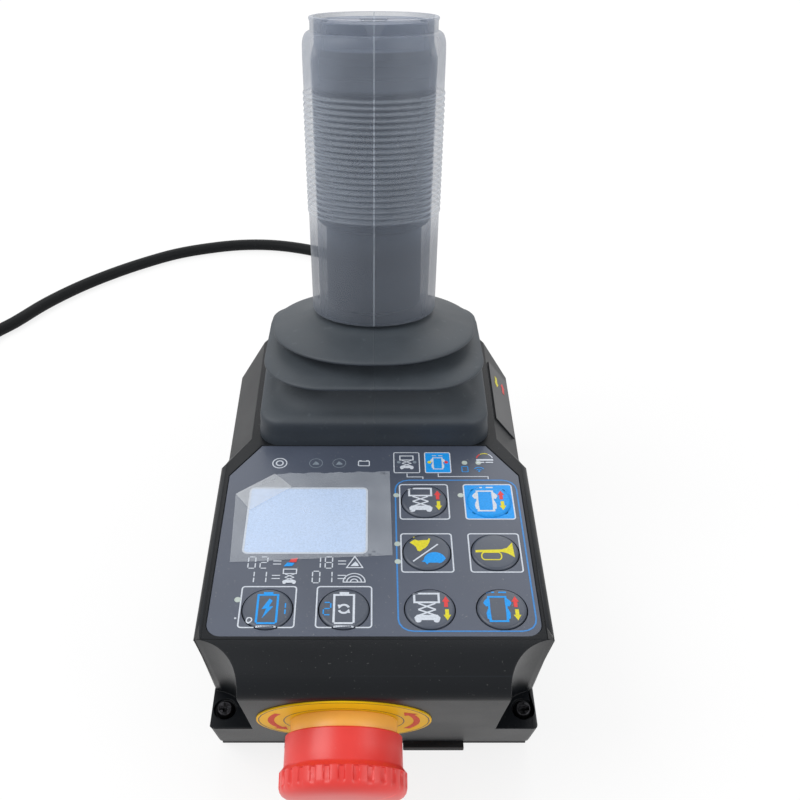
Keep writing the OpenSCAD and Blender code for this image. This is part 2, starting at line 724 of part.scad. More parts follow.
module joystick_base() color([0.18, 0.18, 0.19]) difference() {
    union() {
        translate([0, boot_y, panel_z + seat_gap]) difference() {
            centred_box([flange_w, flange_d, frame_t]);
            translate([0, 0, -over])
                centred_box([cheek_x * 2, opening_d - 2 * frame_gap, frame_t + 2 * over]);
            translate([0, 0, -over]) frame_screw_holes(screw_d - slip_gap);
        }
        for (s = [-1, 1]) translate([s * (cheek_x + cheek_t / 2), pivot_y, pivot_z - cheek_drop])
            centred_box([cheek_t, cheek_w, cheek_drop + pivot_drop + frame_t / 2]);
    }
    translate([0, pivot_y, pivot_z]) {
        $bore = bush_d + 2 * seat_gap;
        along_x(-body_w / 2, body_w);
    }
}

module pivot_bushes() color([0.75, 0.6, 0.3]) for (s = [-1, 1]) translate([0, pivot_y, pivot_z])
    difference() {
        translate([s * (cheek_x + cheek_t / 2) - cheek_t / 2, 0, 0]) {
            $bore = bush_d;
            along_x(0, cheek_t);
        }
        $bore = shaft_d + 2 * run_gap;
        along_x(-body_w / 2, body_w);
    }

shaft_over = 3;
shaft_end = cheek_x + cheek_t + shaft_over;
module pivot_shaft() color([0.7, 0.7, 0.72]) translate([0, pivot_y, pivot_z]) {
    $bore = shaft_d;
    along_x(-shaft_end, 2 * shaft_end);
}

socket_len = 0.53 * grip_len;
module lever() color([0.65, 0.65, 0.68]) at_lever() difference() {
    union() {
        $bore = hub_d;
        along_x(-hub_w / 2, hub_w);
        cylinder(d = rod_d, h = grip_z + socket_len);
    }
    $bore = shaft_d + seat_gap;
    along_x(-hub_w, 2 * hub_w);
}

// Centring springs round the shaft, between hub and cheeks, as plain sleeves
module centring_springs() color([0.5, 0.5, 0.52]) for (s = [-1, 1]) translate([0, pivot_y, pivot_z])
    difference() {
        spring_len = cheek_x - hub_w / 2 - 2 * slip_gap;
        translate([s * (hub_w / 2 + slip_gap + spring_len / 2) - spring_len / 2, 0, 0]) {
            $bore = bush_d;
            along_x(0, spring_len);
        }
        $bore = shaft_d + 2 * slip_gap;
        along_x(-body_w / 2, body_w);
    }

// Angle sensor on the outside of the right cheek, round the end of the shaft
sensor_t = 6;
sensor_w = 20;
module angle_sensor() color([0.1, 0.1, 0.12]) difference() {
    translate([cheek_x + cheek_t + seat_gap, pivot_y - sensor_w / 2, pivot_z - cheek_drop])
        cube([sensor_t, sensor_w, cheek_drop + pivot_drop - wall - slip_gap]);
    translate([0, pivot_y, pivot_z]) {
        $bore = shaft_d + 2 * slip_gap;
        along_x(0, shaft_end + slip_gap);
    }
}

// Grip
straight_len = grip_len - 15 * unit;
shoulder_z = grip_len - 9.5 * unit;
neck_z = grip_len - 5.2 * unit;
rib_z = 0.357 * grip_len;
rib_pitch = 0.0196 * grip_len;
core_gap = 0.4;
core_low = 3;
core_len = grip_len - 14 * unit;
core_low_d = 37.6;
grip_rise = (grip_top_d - grip_low_d) / 2 / straight_len;
function grip_r(s) = grip_low_d / 2 + grip_rise * min(s, straight_len);

// Shoulder of the sleeve: share of the way in, and share of the way up
shoulder_share = [[0, 0], [0.04, 0.2], [0.14, 0.42], [0.3, 0.62], [0.52, 0.8], [0.8, 0.93], [1, 1]];

// Inner radius of the sleeve's neck
neck_in = neck_d / 2 - sleeve_t / 2;

// Outline of the sleeve from its axis, with its ribs
module sleeve_outline() {
    rib = [for (k = [0 : ribs - 1]) let (s = rib_z + k * rib_pitch) each [
        [grip_r(s), s], [grip_r(s) + rib_rise, s + rib_pitch * 0.3],
        [grip_r(s) + rib_rise, s + rib_pitch * 0.6], [grip_r(s), s + rib_pitch * 0.9]]];
    low = rib_rise;
    in = grip_top_d / 2 - neck_d / 2;
    translate([0, grip_z]) polygon(concat(
        [[grip_low_d / 2 - sleeve_t, 0], [grip_low_d / 2 - low, 0], [grip_r(low), low]],
        rib,
        [[grip_top_d / 2, straight_len]],
        [for (p = shoulder_share) [grip_top_d / 2 - in * p[0], shoulder_z + (neck_z - shoulder_z) * p[1]]],
        [[neck_d / 2, grip_len - 4 * rib_rise], [neck_d / 2 + rib_rise, grip_len - 2 * rib_rise],
         [neck_d / 2 + rib_rise, grip_len - rib_rise], [neck_d / 2, grip_len], [neck_in, grip_len],
         [neck_in, shoulder_z + rib_rise], [grip_top_d / 2 - sleeve_t, straight_len + rib_rise]]));
}
module grip_sleeve() color([0.6, 0.66, 0.75]) at_lever() rotate_extrude() sleeve_outline();

// Core of the grip: slim at its foot, and filling the sleeve from the first rib upward
core_top_r = grip_r(core_low + core_len) - sleeve_t - core_gap;
core_mid_r = grip_r(rib_z) - sleeve_t - core_gap;
rocker_w = 37;
rocker_d = 15;
rocker_gap = 1;
well_h = 12;
rocker_lift = 1.5;
pin_d = 3;
pin_len = 36;
rocker_axis_z = core_low + core_len - 5 * unit;
module grip_core() color([0.12, 0.13, 0.16]) at_lever() difference() {
    translate([0, 0, grip_z + core_low]) rotate_extrude() polygon([[0, 0], [core_low_d / 2, 0],
        [core_low_d / 2, rib_z - 2 * core_low], [core_mid_r, rib_z - core_low],
        [core_top_r, straight_len - core_low], [neck_in, core_len], [0, core_len]]);
    translate([0, 0, grip_z]) cylinder(d = rod_d + 2 * seat_gap, h = socket_len + seat_gap);
    translate([0, 0, grip_z + core_low + core_len - well_h])
        centred_box([rocker_w + 2 * rocker_gap, rocker_d + 2 * rocker_gap, well_h + over]);
    translate([0, 0, grip_z + rocker_axis_z]) rotate([90, 0, 0])
        cylinder(d = pin_d + 2 * seat_gap, h = pin_len, center = true);
}

// Cap that closes the grip's neck round the rocker
module grip_cap() color([0.3, 0.38, 0.5]) at_lever() difference() {
    cap_r = neck_in - seat_gap;
    translate([0, 0, grip_z + core_low + core_len + seat_gap])
        cylinder(r = cap_r, h = grip_len - core_low - core_len - rocker_lift);
    translate([0, 0, grip_z + core_low + core_len - over])
        centred_box([rocker_w + 2 * rocker_gap, rocker_d + 2 * rocker_gap, grip_len]);
}

module rocker_pin() color([0.7, 0.7, 0.72]) at_lever() translate([0, 0, grip_z + rocker_axis_z])
    rotate([90, 0, 0]) cylinder(d = pin_d, h = pin_len - slip_gap, center = true);

// Rocker with two paddles and a notch between them
rocker_rise = 14.5;
notch_top = 5;
notch_low = 2.2;
notch_h = 6.5;
module thumb_rocker() color([0.1, 0.16, 0.32]) at_lever() difference() {
    half = rocker_w / 2 - rocker_gap / 2;
    translate([0, rocker_d / 2, grip_z + rocker_axis_z]) rotate([90, 0, 0]) linear_extrude(rocker_d)
        polygon([[-half, pin_d / 2], [-pin_d, -pin_d], [pin_d, -pin_d], [half, pin_d / 2],
            [half - rocker_gap, rocker_rise], [notch_top, rocker_rise], [notch_low, rocker_rise - notch_h],
            [-notch_low, rocker_rise - notch_h], [-notch_top, rocker_rise],
            [-half + rocker_gap, rocker_rise]]);
    translate([0, 0, grip_z + rocker_axis_z]) rotate([90, 0, 0])
        cylinder(d = pin_d + 2 * run_gap, h = 2 * pin_len, center = true);
}

// Gland, strain relief and cord
hex_d = 24;
hex_t = 5;
gland_len = 20;
cap_d = 21;
relief_len = 30;
relief_d = 11;
module at_gland() {
    translate([gland_x, rear_y, gland_z]) rotate([-90, 0, 0]) children();
}
module cable_gland() color([0.08, 0.08, 0.08]) at_gland() difference() {
    union() {
        translate([0, 0, -wall - 2 * hex_t]) cylinder(d = gland_d, h = wall + 2 * hex_t + seat_gap);
        translate([0, 0, seat_gap]) cylinder(d = hex_d, h = hex_t, $fn = 6);
        translate([0, 0, hex_t]) cylinder(d1 = cap_d, d2 = relief_d + 2 * wall, h = gland_len - hex_t);
    }
    cylinder(d = relief_d + 2 * seat_gap, h = through, center = true);
}
module gland_nut() color([0.1, 0.1, 0.1]) at_gland() difference() {
    translate([0, 0, -wall - hex_t - seat_gap]) cylinder(d = hex_d, h = hex_t, $fn = 6);
    cylinder(d = gland_d + 2 * run_gap, h = through, center = true);
}
module strain_relief() color([0.06, 0.06, 0.06]) at_gland() {
    translate([0, 0, -wall - 2 * hex_t]) cylinder(d = relief_d, h = wall + 2 * hex_t + gland_len);
    translate([0, 0, gland_len]) cylinder(d1 = relief_d, d2 = cord_d + unit, h = relief_len);
}

// Route of the cord from the strain relief to the coil, chosen by hand
cord_route = [
    [10, 138, 24], [10, 146, 24], [10, 155, 22.5], [9.5, 166, 18], [8.5, 178, 11.5], [7, 191, 5.8],
    [4, 205, 3.6], [0, 220, 3.5], [-7, 237, 3.5], [-17, 252, 3.5], [-31, 264, 3.5], [-48, 271, 3.5],
    [-67, 275, 3.5], [-87, 275, 3.5], [-107, 271, 3.5], [-127, 264, 3.5], [-146, 253, 3.5], [-164, 240, 3.5],
    [-181, 225, 3.5], [-197, 207, 3.5], [-210, 188, 3.5], [-220, 176, 3.5], [-224.6, 166, 3.5],
    [-224.6, 157, 3.5]
];
// Route of the cord from the coil's end to its connector, chosen by hand, counted from the coil's end
tail_steps = [[0, 0, 0], [0, 7, 0], [-0.5, 17, -0.5], [-1, 27, -1.7], [-1.2, 37, -2.1], [-1.2, 45, -2.1]];
cord_low = cord_d / 2;
coil_pitch = cord_d + coil_gap;
coil_out = coil_r + coil_pitch * coil_turns / 2;
coil_x = cord_route[len(cord_route) - 1][0] - coil_out;
coil_y = cord_route[len(cord_route) - 1][1] - cord_d;
loop_rings = 24;

// Point on the coil: it spirals in on the floor, climbs where it turns round, and spirals out on top
function climb(u) = u <= 0 ? 0 : u >= 1 ? 1 : u * u * (3 - 2 * u);
function coil_point(turn) =
    let (middle = coil_turns / 2, r = coil_r + coil_pitch * abs(turn - middle), a = -360 * turn,
         up = climb((turn - middle) * 2 + 0.5))
    [coil_x + r * cos(a), coil_y + r * sin(a), cord_low + coil_pitch * up];
coil_steps = loop_rings * coil_turns;
coil_start = [coil_x + coil_out, coil_y + cord_d, cord_low];
coil_end = [coil_x - coil_out, coil_y + cord_d, cord_low + coil_pitch];
coil_line = concat([coil_start], [for (k = [0 : coil_steps]) coil_point(k / loop_rings)], [coil_end]);
tail_route = [for (p = tail_steps) coil_end + p];

// Ring of points round a line, square to the direction in which the line runs there
function unit_of(v) = v / norm(v);
function line_ring(line, i, sides, turn = 0) =
    let (n = len(line), before = line[max(i - 1, 0)], after = line[min(i + 1, n - 1)],
         t = unit_of(after - before), side = unit_of(cross(t, [0, 0, 1])),
         up = cross(side, t), r = cord_d / 2)
    [for (k = [0 : sides - 1]) let (a = 360 * k / sides + turn)
        line[i] + r * cos(a) * side + r * sin(a) * up];
function tube_faces(rings, sides) = concat(
    [[for (j = [0 : sides - 1]) j]],
    [for (i = [0 : rings - 2]) for (j = [0 : sides - 1])
        let (a = i * sides + j, b = i * sides + (j + 1) % sides)
        each [[a, a + sides, b], [b, a + sides, b + sides]]],
    [[for (j = [sides - 1 : -1 : 0]) (rings - 1) * sides + j]]
);
module tube(line, sides, turn = 0) {
    polyhedron([for (i = [0 : len(line) - 1]) each line_ring(line, i, sides, turn)],
        tube_faces(len(line), sides));
}
module cord_run() color([0.04, 0.04, 0.045]) tube(cord_route, 8, 180 / 8);
module cord_coil() color([0.04, 0.04, 0.045]) tube(coil_line, 6);
module cord_tail() color([0.04, 0.04, 0.045]) tube(tail_route, 8, 180 / 8);

// Least gap between turns of the coil, measured between points at least three quarters of a turn apart
coil_least = min([for (i = [1 : len(coil_line) - 2]) for (j = [i + loop_rings * 0.75 : len(coil_line) - 2])
    norm(coil_line[i] - coil_line[j])]) - cord_d;
echo(coil_least_gap = coil_least);

// Connector at the cord's far end
plug_d = 16;
plug_len = 34;
plug_neck = 10;
coupling_d = 18;
coupling_len = 14;
pin_out = 4;
module at_plug() {
    end = tail_route[len(tail_route) - 1];
    translate(end) rotate([-90, 0, 0]) children();
}
module connector_body() color([0.07, 0.07, 0.08]) at_plug() difference() {
    union() {
        cylinder(d1 = cord_d + 2 * unit, d2 = plug_d - 2 * unit, h = plug_neck);
        translate([0, 0, plug_neck]) cylinder(d = plug_d - 2 * unit, h = plug_len - plug_neck);
    }
    translate([0, 0, plug_len - plug_neck]) cylinder(d = plug_d / 2 + unit, h = plug_len);
}
module connector_ring() color([0.55, 0.56, 0.58]) at_plug() difference() {
    translate([0, 0, plug_len - coupling_len]) cylinder(d = coupling_d, h = coupling_len);
    cylinder(d = plug_d - 2 * unit + 2 * run_gap, h = through, center = true);
}
module connector_pins() color([0.85, 0.7, 0.35]) at_plug() {
    pin_count = 4;
    contact_d = 1.2;
    for (k = [0 : pin_count - 1]) rotate([0, 0, 360 * k / pin_count])
        translate([plug_d / 7, 0, plug_len - plug_neck]) cylinder(d = contact_d, h = plug_neck - pin_out / 2);
}

base_plate();
base_gasket();
upper_housing();
corner_screws();
panel_overlay();
display_window();
display_module();
screen_film();
indicator_lenses();
shoulder_label();
circuit_board();
board_screws();
key_switches();
lift_key();
drive_key();
speed_key();
horn_key();
lift_mode_key();
drive_mode_key();
battery_save_key();
battery_cycle_key();
stop_label();
stop_collar();
stop_barrel();
stop_nut();
stop_contacts();
stop_stem();
stop_head();
rubber_boot();
boot_frame();
frame_screws();
joystick_base();
pivot_bushes();
pivot_shaft();
lever();
centring_springs();
angle_sensor();
grip_core();
grip_sleeve();
grip_cap();
rocker_pin();
thumb_rocker();
cable_gland();
gland_nut();
strain_relief();
cord_run();
cord_coil();
cord_tail();
connector_body();
connector_ring();
connector_pins();
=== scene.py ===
"""Looks of the scissor lift control box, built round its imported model.

Lengths are in millimetres until a mesh is made, and places are in the model's own frame.
"""

import json
import logging
import math
from collections.abc import Callable, Sequence
from dataclasses import dataclass, field
from enum import Enum

import bmesh
import bpy
from mathutils import Matrix, Vector
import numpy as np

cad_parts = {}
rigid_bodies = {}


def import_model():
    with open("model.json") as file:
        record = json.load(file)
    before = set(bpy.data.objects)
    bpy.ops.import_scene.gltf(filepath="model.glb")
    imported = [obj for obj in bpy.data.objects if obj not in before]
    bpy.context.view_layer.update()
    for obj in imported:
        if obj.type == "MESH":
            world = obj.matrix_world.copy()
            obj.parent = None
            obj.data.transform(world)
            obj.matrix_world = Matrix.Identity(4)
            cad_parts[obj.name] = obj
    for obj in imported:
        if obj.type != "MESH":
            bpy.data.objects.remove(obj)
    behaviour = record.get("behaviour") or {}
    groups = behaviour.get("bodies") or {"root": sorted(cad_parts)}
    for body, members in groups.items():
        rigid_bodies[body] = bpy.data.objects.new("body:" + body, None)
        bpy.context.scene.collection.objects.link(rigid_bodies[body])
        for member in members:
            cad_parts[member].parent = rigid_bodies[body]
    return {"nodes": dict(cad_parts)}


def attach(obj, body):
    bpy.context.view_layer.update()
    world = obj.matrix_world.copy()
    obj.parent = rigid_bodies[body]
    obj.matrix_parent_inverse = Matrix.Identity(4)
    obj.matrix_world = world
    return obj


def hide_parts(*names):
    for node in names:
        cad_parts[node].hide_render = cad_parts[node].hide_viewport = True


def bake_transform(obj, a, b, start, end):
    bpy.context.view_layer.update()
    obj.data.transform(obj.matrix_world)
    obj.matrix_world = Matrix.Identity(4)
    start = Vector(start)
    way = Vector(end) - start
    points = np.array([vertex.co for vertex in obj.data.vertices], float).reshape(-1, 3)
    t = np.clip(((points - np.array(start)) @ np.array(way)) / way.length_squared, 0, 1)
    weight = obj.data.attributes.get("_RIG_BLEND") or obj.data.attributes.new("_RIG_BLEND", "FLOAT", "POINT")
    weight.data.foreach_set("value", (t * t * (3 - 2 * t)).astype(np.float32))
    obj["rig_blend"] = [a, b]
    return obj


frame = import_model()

MM = 0.001
PANEL_Z = 80.0
FILM_Z = 79.7
FRONT_Y = -100.0
LEAN = 15.0
FRONT_LEAN = 22.5
PIVOT = (0.0, 32.0, 74.0)
GRIP_UP = 40.4
RIB_START = 39.98
RIB_PITCH = 2.195
STOP_PLACE = (-10.3, -104.416, 42.0)

Point = tuple[float, float, float]
Flat = tuple[float, float]
Colour = tuple[float, float, float]
log = logging.getLogger("control_box")


def paint(red: float, green: float, blue: float) -> Colour:
    """Turns a colour as it is seen into one that a shader takes.

    Args:
        red: Red from 0 to 255, as are green and blue.
        green: Green.
        blue: Blue.

    Returns:
        The colour in linear light.
    """

    def channel(value: float) -> float:
        """Linear light of one channel."""
        share = value / 255
        return share / 12.92 if share <= 0.04045 else ((share + 0.055) / 1.055) ** 2.4

    return channel(red), channel(green), channel(blue)


def scaled(colour: Colour, share: float) -> Colour:
    """Colour made lighter or darker by a share."""
    return colour[0] * share, colour[1] * share, colour[2] * share


def clamped(value: float) -> float:
    """Value held between 0 and 1."""
    return min(max(value, 0), 1)


def polar(centre: Flat, radius: float, angle: float) -> Flat:
    """Point at a distance and an angle from a centre, with the angle in radians."""
    return centre[0] + radius * math.cos(angle), centre[1] + radius * math.sin(angle)


DUST = paint(150, 152, 150)
LEVER = (
    Matrix.Translation(PIVOT)
    @ Matrix.Rotation(math.radians(-LEAN), 4, "X")
    @ Matrix.Translation((0, 0, GRIP_UP))
)
STOP = Matrix.Translation(STOP_PLACE) @ Matrix.Rotation(math.radians(90 + FRONT_LEAN), 4, "X")
FRONT_EDGE = Matrix.Translation((0, FRONT_Y, 0))


class Expr:
    """Output of a node, on which Python's operators add Math nodes."""

    def __init__(self, shader: "Shader", socket: bpy.types.NodeSocket) -> None:
        """Keeps the socket and the shader that it is in."""
        self.shader = shader
        self.socket = socket

    def _math(self, operation: str, first: "Value", second: "Value") -> "Expr":
        """Adds one Math node on two values."""
        return self.shader.node("ShaderNodeMath", {"operation": operation}, {0: first, 1: second})

    def __add__(self, other: "Value") -> "Expr":
        """Sum."""
        return self._math("ADD", self, other)

    def __radd__(self, other: "Value") -> "Expr":
        """Sum, reflected."""
        return self._math("ADD", other, self)

    def __sub__(self, other: "Value") -> "Expr":
        """Difference."""
        return self._math("SUBTRACT", self, other)

    def __rsub__(self, other: "Value") -> "Expr":
        """Difference, reflected."""
        return self._math("SUBTRACT", other, self)

    def __mul__(self, other: "Value") -> "Expr":
        """Product."""
        return self._math("MULTIPLY", self, other)

    def __rmul__(self, other: "Value") -> "Expr":
        """Product, reflected."""
        return self._math("MULTIPLY", other, self)

    def __abs__(self) -> "Expr":
        """Size without its sign."""
        return self._math("ABSOLUTE", self, 0.0)


Value = Expr | float | tuple[float, ...]


class Shader:
    """Nodes of one material."""

    def __init__(self, name: str) -> None:
        """Starts an empty material of that name.

        Args:
            name: Name of the material.
        """
        self.material = bpy.data.materials.new(name)
        self.material.use_nodes = True
        self.tree = self.material.node_tree
        self.tree.nodes.clear()

    def node(
        self,
        kind: str,
        settings: dict[str, object] | None = None,
        inputs: dict[int | str, Value] | None = None,
        output: int | str = 0,
    ) -> Expr | None:
        """Adds a node.

        Args:
            kind: Blender's name of the node's type.
            settings: Its own settings, set before its sockets.
            inputs: Values or links of its sockets.
            output: Socket that the result stands for.

        Returns:
            That output, or None where the node has none.
        """
        made = self.tree.nodes.new(kind)
        for key, value in (settings or {}).items():
            setattr(made, key, value)
        for key, value in (inputs or {}).items():
            socket = made.inputs[key]
            if isinstance(value, Expr):
                self.tree.links.new(value.socket, socket)
            elif isinstance(value, tuple) and len(socket.default_value) == 4:
                socket.default_value = (*value[:3], 1.0)
            else:
                socket.default_value = value
        return Expr(self, made.outputs[output]) if len(made.outputs) else None

    def place(self) -> Expr:
        """Point of the surface in the model's frame, in metres."""
        return self.node("ShaderNodeTexCoord", output="Object")

    def axis(self, vector: Expr, name: str) -> Expr:
        """One part of a vector, named X, Y or Z."""
        return self.node("ShaderNodeSeparateXYZ", {}, {0: vector}, name)

    def noise(self, size: float, detail: float) -> Expr:
        """Noise from 0 to 1, with its grains in millimetres and how many finer layers it has."""
        inputs = {"Vector": self.place(), "Scale": 1 / (size * MM), "Detail": detail}
        return self.node("ShaderNodeTexNoise", {}, inputs)

    def steps(self, value: Expr, low: float, high: float) -> Expr:
        """Value that goes from 0 at low to 1 at high, and stays there."""
        settings = {"interpolation_type": "SMOOTHSTEP"}
        return self.node("ShaderNodeMapRange", settings, {"Value": value, "From Min": low, "From Max": high})

    def mix(self, share: Value, low: Value, high: Value) -> Expr:
        """Colour between two colours."""
        return self.node("ShaderNodeMix", {"data_type": "RGBA"}, {0: share, 6: low, 7: high}, 2)

    def bump(self, height: Expr, strength: float, depth: float) -> Expr:
        """Normal over a height, with its depth in millimetres."""
        inputs = {"Height": height, "Strength": strength, "Distance": depth * MM}
        return self.node("ShaderNodeBump", {}, inputs)

    def surface(self, inputs: dict[int | str, Value]) -> bpy.types.Material:
        """Material with one Principled surface of those inputs.

        Args:
            inputs: Values or links of its sockets.

        Returns:
            The material.
        """
        made = self.node("ShaderNodeBsdfPrincipled", {}, inputs)
        self.node("ShaderNodeOutputMaterial", {}, {"Surface": made})
        return self.material


@dataclass(frozen=True)
class Finish:
    """Named finish of a surface."""

    name: str
    colour: Colour

    def material(self) -> bpy.types.Material:
        """Material of this finish, made the first time."""
        return bpy.data.materials.get(self.name) or self.build(Shader(self.name))

    def build(self, shader: Shader) -> bpy.types.Material:
        """Plain surface in the finish's colour."""
        return shader.surface({"Base Color": self.colour})


@dataclass(frozen=True)
class Moulded(Finish):
    """Moulded plastic with spark-eroded grain, worn edges and a little dust."""

    rough: float = 0.45
    grain: float = 0.25
    grain_size: float = 0.5
    wear: float = 0.0
    dust: float = 0.25
    shine: float = 0.5

    def build(self, shader: Shader) -> bpy.types.Material:
        """Grain as bump, mottled colour, lighter edges and specks of dust.

        Args:
            shader: The shader to add to.

        Returns:
            The material.
        """
        mottle = shader.noise(size=28, detail=4)
        fine = shader.noise(self.grain_size, detail=3)
        specks = shader.steps(shader.noise(size=0.9, detail=1), low=0.72, high=0.78)
        edge = shader.steps(shader.node("ShaderNodeNewGeometry", output="Pointiness"), low=0.53, high=0.62)
        colour = shader.mix(mottle, scaled(self.colour, 0.8), scaled(self.colour, 1.2))
        colour = shader.mix(edge * self.wear, colour, scaled(self.colour, 2.6))
        colour = shader.mix(specks * self.dust, colour, DUST)
        inputs = {
            "Base Color": colour,
            "Roughness": mottle * 0.16 + (self.rough - 0.08),
            "Specular IOR Level": self.shine,
            "Normal": shader.bump(fine, self.grain, depth=0.15),
        }
        return shader.surface(inputs)


@dataclass(frozen=True)
class Rubber(Finish):
    """Soft rubber, lighter where it faces up, with a mould line in its middle."""

    # Strength of the lightening where the surface faces up.
    dust: float = 0.14
    seam: float = 0.35

    def build(self, shader: Shader) -> bpy.types.Material:
        """Lighter where the surface faces up, by its own direction, and the mould line as bump.

        Args:
            shader: The shader to add to.

        Returns:
            The material.
        """
        up = shader.axis(shader.node("ShaderNodeTexCoord", output="Normal"), "Z")
        mottle = shader.noise(size=9, detail=5)
        # Faces that look up are mixed towards a lighter grey, broken up by the mottle; the scuffs are random
        # wear.
        upward_lightening = shader.steps(up, low=0.35, high=0.98) * (mottle * 0.6 + 0.55) * self.dust
        scuff = shader.steps(shader.noise(size=3, detail=4), low=0.62, high=0.75) * 0.12
        colour = shader.mix(mottle, scaled(self.colour, 0.85), scaled(self.colour, 1.15))
        colour = shader.mix(upward_lightening + scuff, colour, paint(104, 112, 116))
        line = 1 - shader.steps(abs(shader.axis(shader.place(), "X")), 0.1 * MM, self.seam * MM)
        height = shader.noise(size=0.6, detail=3) * 0.35 + line
        inputs = {
            "Base Color": colour,
            "Roughness": mottle * 0.15 + 0.52,
            "Normal": shader.bump(height, strength=0.35, depth=0.25),
        }
        return shader.surface(inputs)


@dataclass(frozen=True)
class Cloudy(Finish):
    """Cloudy clear plastic, denser towards its outline, with a bright parting line and a painted highlight
    along its rib crests.
    """

    centre: float = 0.17
    outline: float = 0.5
    parting: float = 0.45
    rib_end: float = 86.1

    def height(self, shader: Shader) -> Expr:
        """Height above the grip's foot in millimetres.

        Args:
            shader: The shader to add to.

        Returns:
            The height.
        """
        along = LEVER.to_3x3() @ Vector((0, 0, 1))
        inputs = {0: shader.place(), 1: tuple(along)}
        reach = shader.node("ShaderNodeVectorMath", {"operation": "DOT_PRODUCT"}, inputs, "Value")
        return reach * (1 / MM) - along.dot(LEVER.translation)

    def rib_highlight_share(self, shader: Shader, up: Expr) -> Expr:
        """Share that is 1 on the tops of the ribs and 0 between them, where a painted highlight goes.

        Args:
            shader: The shader to add to.
            up: Height above the grip's foot in millimetres.

        Returns:
            The share.
        """
        turns = (up - RIB_START) * (1 / RIB_PITCH)
        phase = shader.node("ShaderNodeMath", {"operation": "FRACT"}, {0: turns})
        crest = 1 - shader.steps(abs(phase - 0.45), low=0.08, high=0.3)
        inside = shader.steps(up, RIB_START - 0.3, RIB_START)
        return crest * inside * (1 - shader.steps(up, self.rib_end, self.rib_end + 0.3))

    def build(self, shader: Shader) -> bpy.types.Material:
        """Opacity by the angle of view, as in any clear wall, with ribs and a parting line, and a painted
        highlight on the rib crests.

        Args:
            shader: The shader to add to.

        Returns:
            The material.
        """
        facing = shader.node("ShaderNodeLayerWeight", {}, {"Blend": 0.5}, "Facing")
        haze = shader.noise(size=14, detail=3)
        up = self.height(shader)
        ribs = self.rib_highlight_share(shader, up)
        above = shader.steps(up, self.rib_end, self.rib_end + 3) * 0.12
        below = 1 - shader.steps(up, RIB_START - 14, RIB_START - 1)
        line = 1 - shader.steps(abs(shader.axis(shader.place(), "X")), 0.15 * MM, self.parting * MM)
        colour = shader.mix(haze, scaled(self.colour, 0.86), scaled(self.colour, 1.1))
        colour = shader.mix(below * 0.7, colour, scaled(self.colour, 0.36))
        # Rib crests are mixed towards a pale blue white: a painted highlight standing in for the ribs'
        # shading.
        colour = shader.mix(line * 0.3 + ribs * 0.32, colour, paint(206, 216, 226))
        base = facing * (self.outline - self.centre) + haze * 0.1 + (self.centre - 0.05)
        alpha = base + line * 0.12 + ribs * 0.15 + above + below * 0.2
        inputs = {
            "Base Color": colour,
            "Roughness": haze * 0.15 + 0.3,
            "Alpha": shader.node("ShaderNodeMath", {"operation": "MINIMUM"}, {0: alpha, 1: 1.0}),
            "Normal": shader.bump(shader.noise(size=7, detail=2) * 0.5 + line, strength=0.2, depth=0.3),
        }
        return shader.surface(inputs)


@dataclass(frozen=True)
class ThinSheet(Finish):
    """Thin clear sheet with haze, fine creases and two dark scuffs."""

    opacity: float = 0.5
    scuffs: tuple[Point, ...] = ()

    def build(self, shader: Shader) -> bpy.types.Material:
        """Haze as opacity, and scuffs as spots broken up by noise.

        Args:
            shader: The shader to add to.

        Returns:
            The material.
        """
        place = shader.place()
        haze = shader.noise(size=11, detail=5)
        colour = shader.mix(haze, scaled(self.colour, 0.9), scaled(self.colour, 1.05))
        spoilt = shader.noise(size=1.6, detail=5)
        for x, y, radius in self.scuffs:
            inputs = {0: place, 1: (x * MM, y * MM, PANEL_Z * MM)}
            away = shader.node("ShaderNodeVectorMath", {"operation": "DISTANCE"}, inputs, "Value")
            spot = 1 - shader.steps(away, 0.1 * radius * MM, radius * MM)
            mask = spot * shader.steps(spoilt, low=0.48, high=0.66) * 0.8
            colour = shader.mix(mask, colour, paint(58, 64, 70))
        inputs = {
            "Base Color": colour,
            "Roughness": haze * 0.2 + 0.28,
            "Alpha": haze * 0.16 + (self.opacity - 0.08),
            "Normal": shader.bump(shader.noise(size=6, detail=4), strength=0.3, depth=0.4),
        }
        return shader.surface(inputs)


@dataclass(frozen=True)
class Metal(Finish):
    """Turned or plated metal with fine streaks."""

    rough: float = 0.32

    def build(self, shader: Shader) -> bpy.types.Material:
        """Streaks in colour and roughness.

        Args:
            shader: The shader to add to.

        Returns:
            The material.
        """
        streak = shader.noise(size=0.8, detail=4)
        stain = shader.noise(size=6, detail=3)
        inputs = {
            "Base Color": shader.mix(stain, scaled(self.colour, 0.8), scaled(self.colour, 1.1)),
            "Roughness": streak * 0.2 + (self.rough - 0.1),
            "Metallic": 1.0,
            "Normal": shader.bump(streak, strength=0.15, depth=0.05),
        }
        return shader.surface(inputs)


@dataclass(frozen=True)
class Ink(Finish):
    """Screen print, a little uneven."""

    # Emission that brightens the surface as painted light; only the display has it.
    painted_glow: float = 0.0
    shine: float = 0.3

    def build(self, shader: Shader) -> bpy.types.Material:
        """Colour that thins here and there, over a satin surface, with a painted glow where one is given.

        Args:
            shader: The shader to add to.

        Returns:
            The material.
        """
        thin = shader.steps(shader.noise(size=0.7, detail=4), low=0.3, high=0.75)
        colour = shader.mix(thin, self.colour, scaled(self.colour, 0.82))
        inputs = {
            "Base Color": colour,
            "Roughness": thin * 0.1 + 0.42,
            "Specular IOR Level": self.shine,
            "Emission Strength": self.painted_glow,
        }
        if self.painted_glow:
            inputs["Emission Color"] = colour
        return shader.surface(inputs)


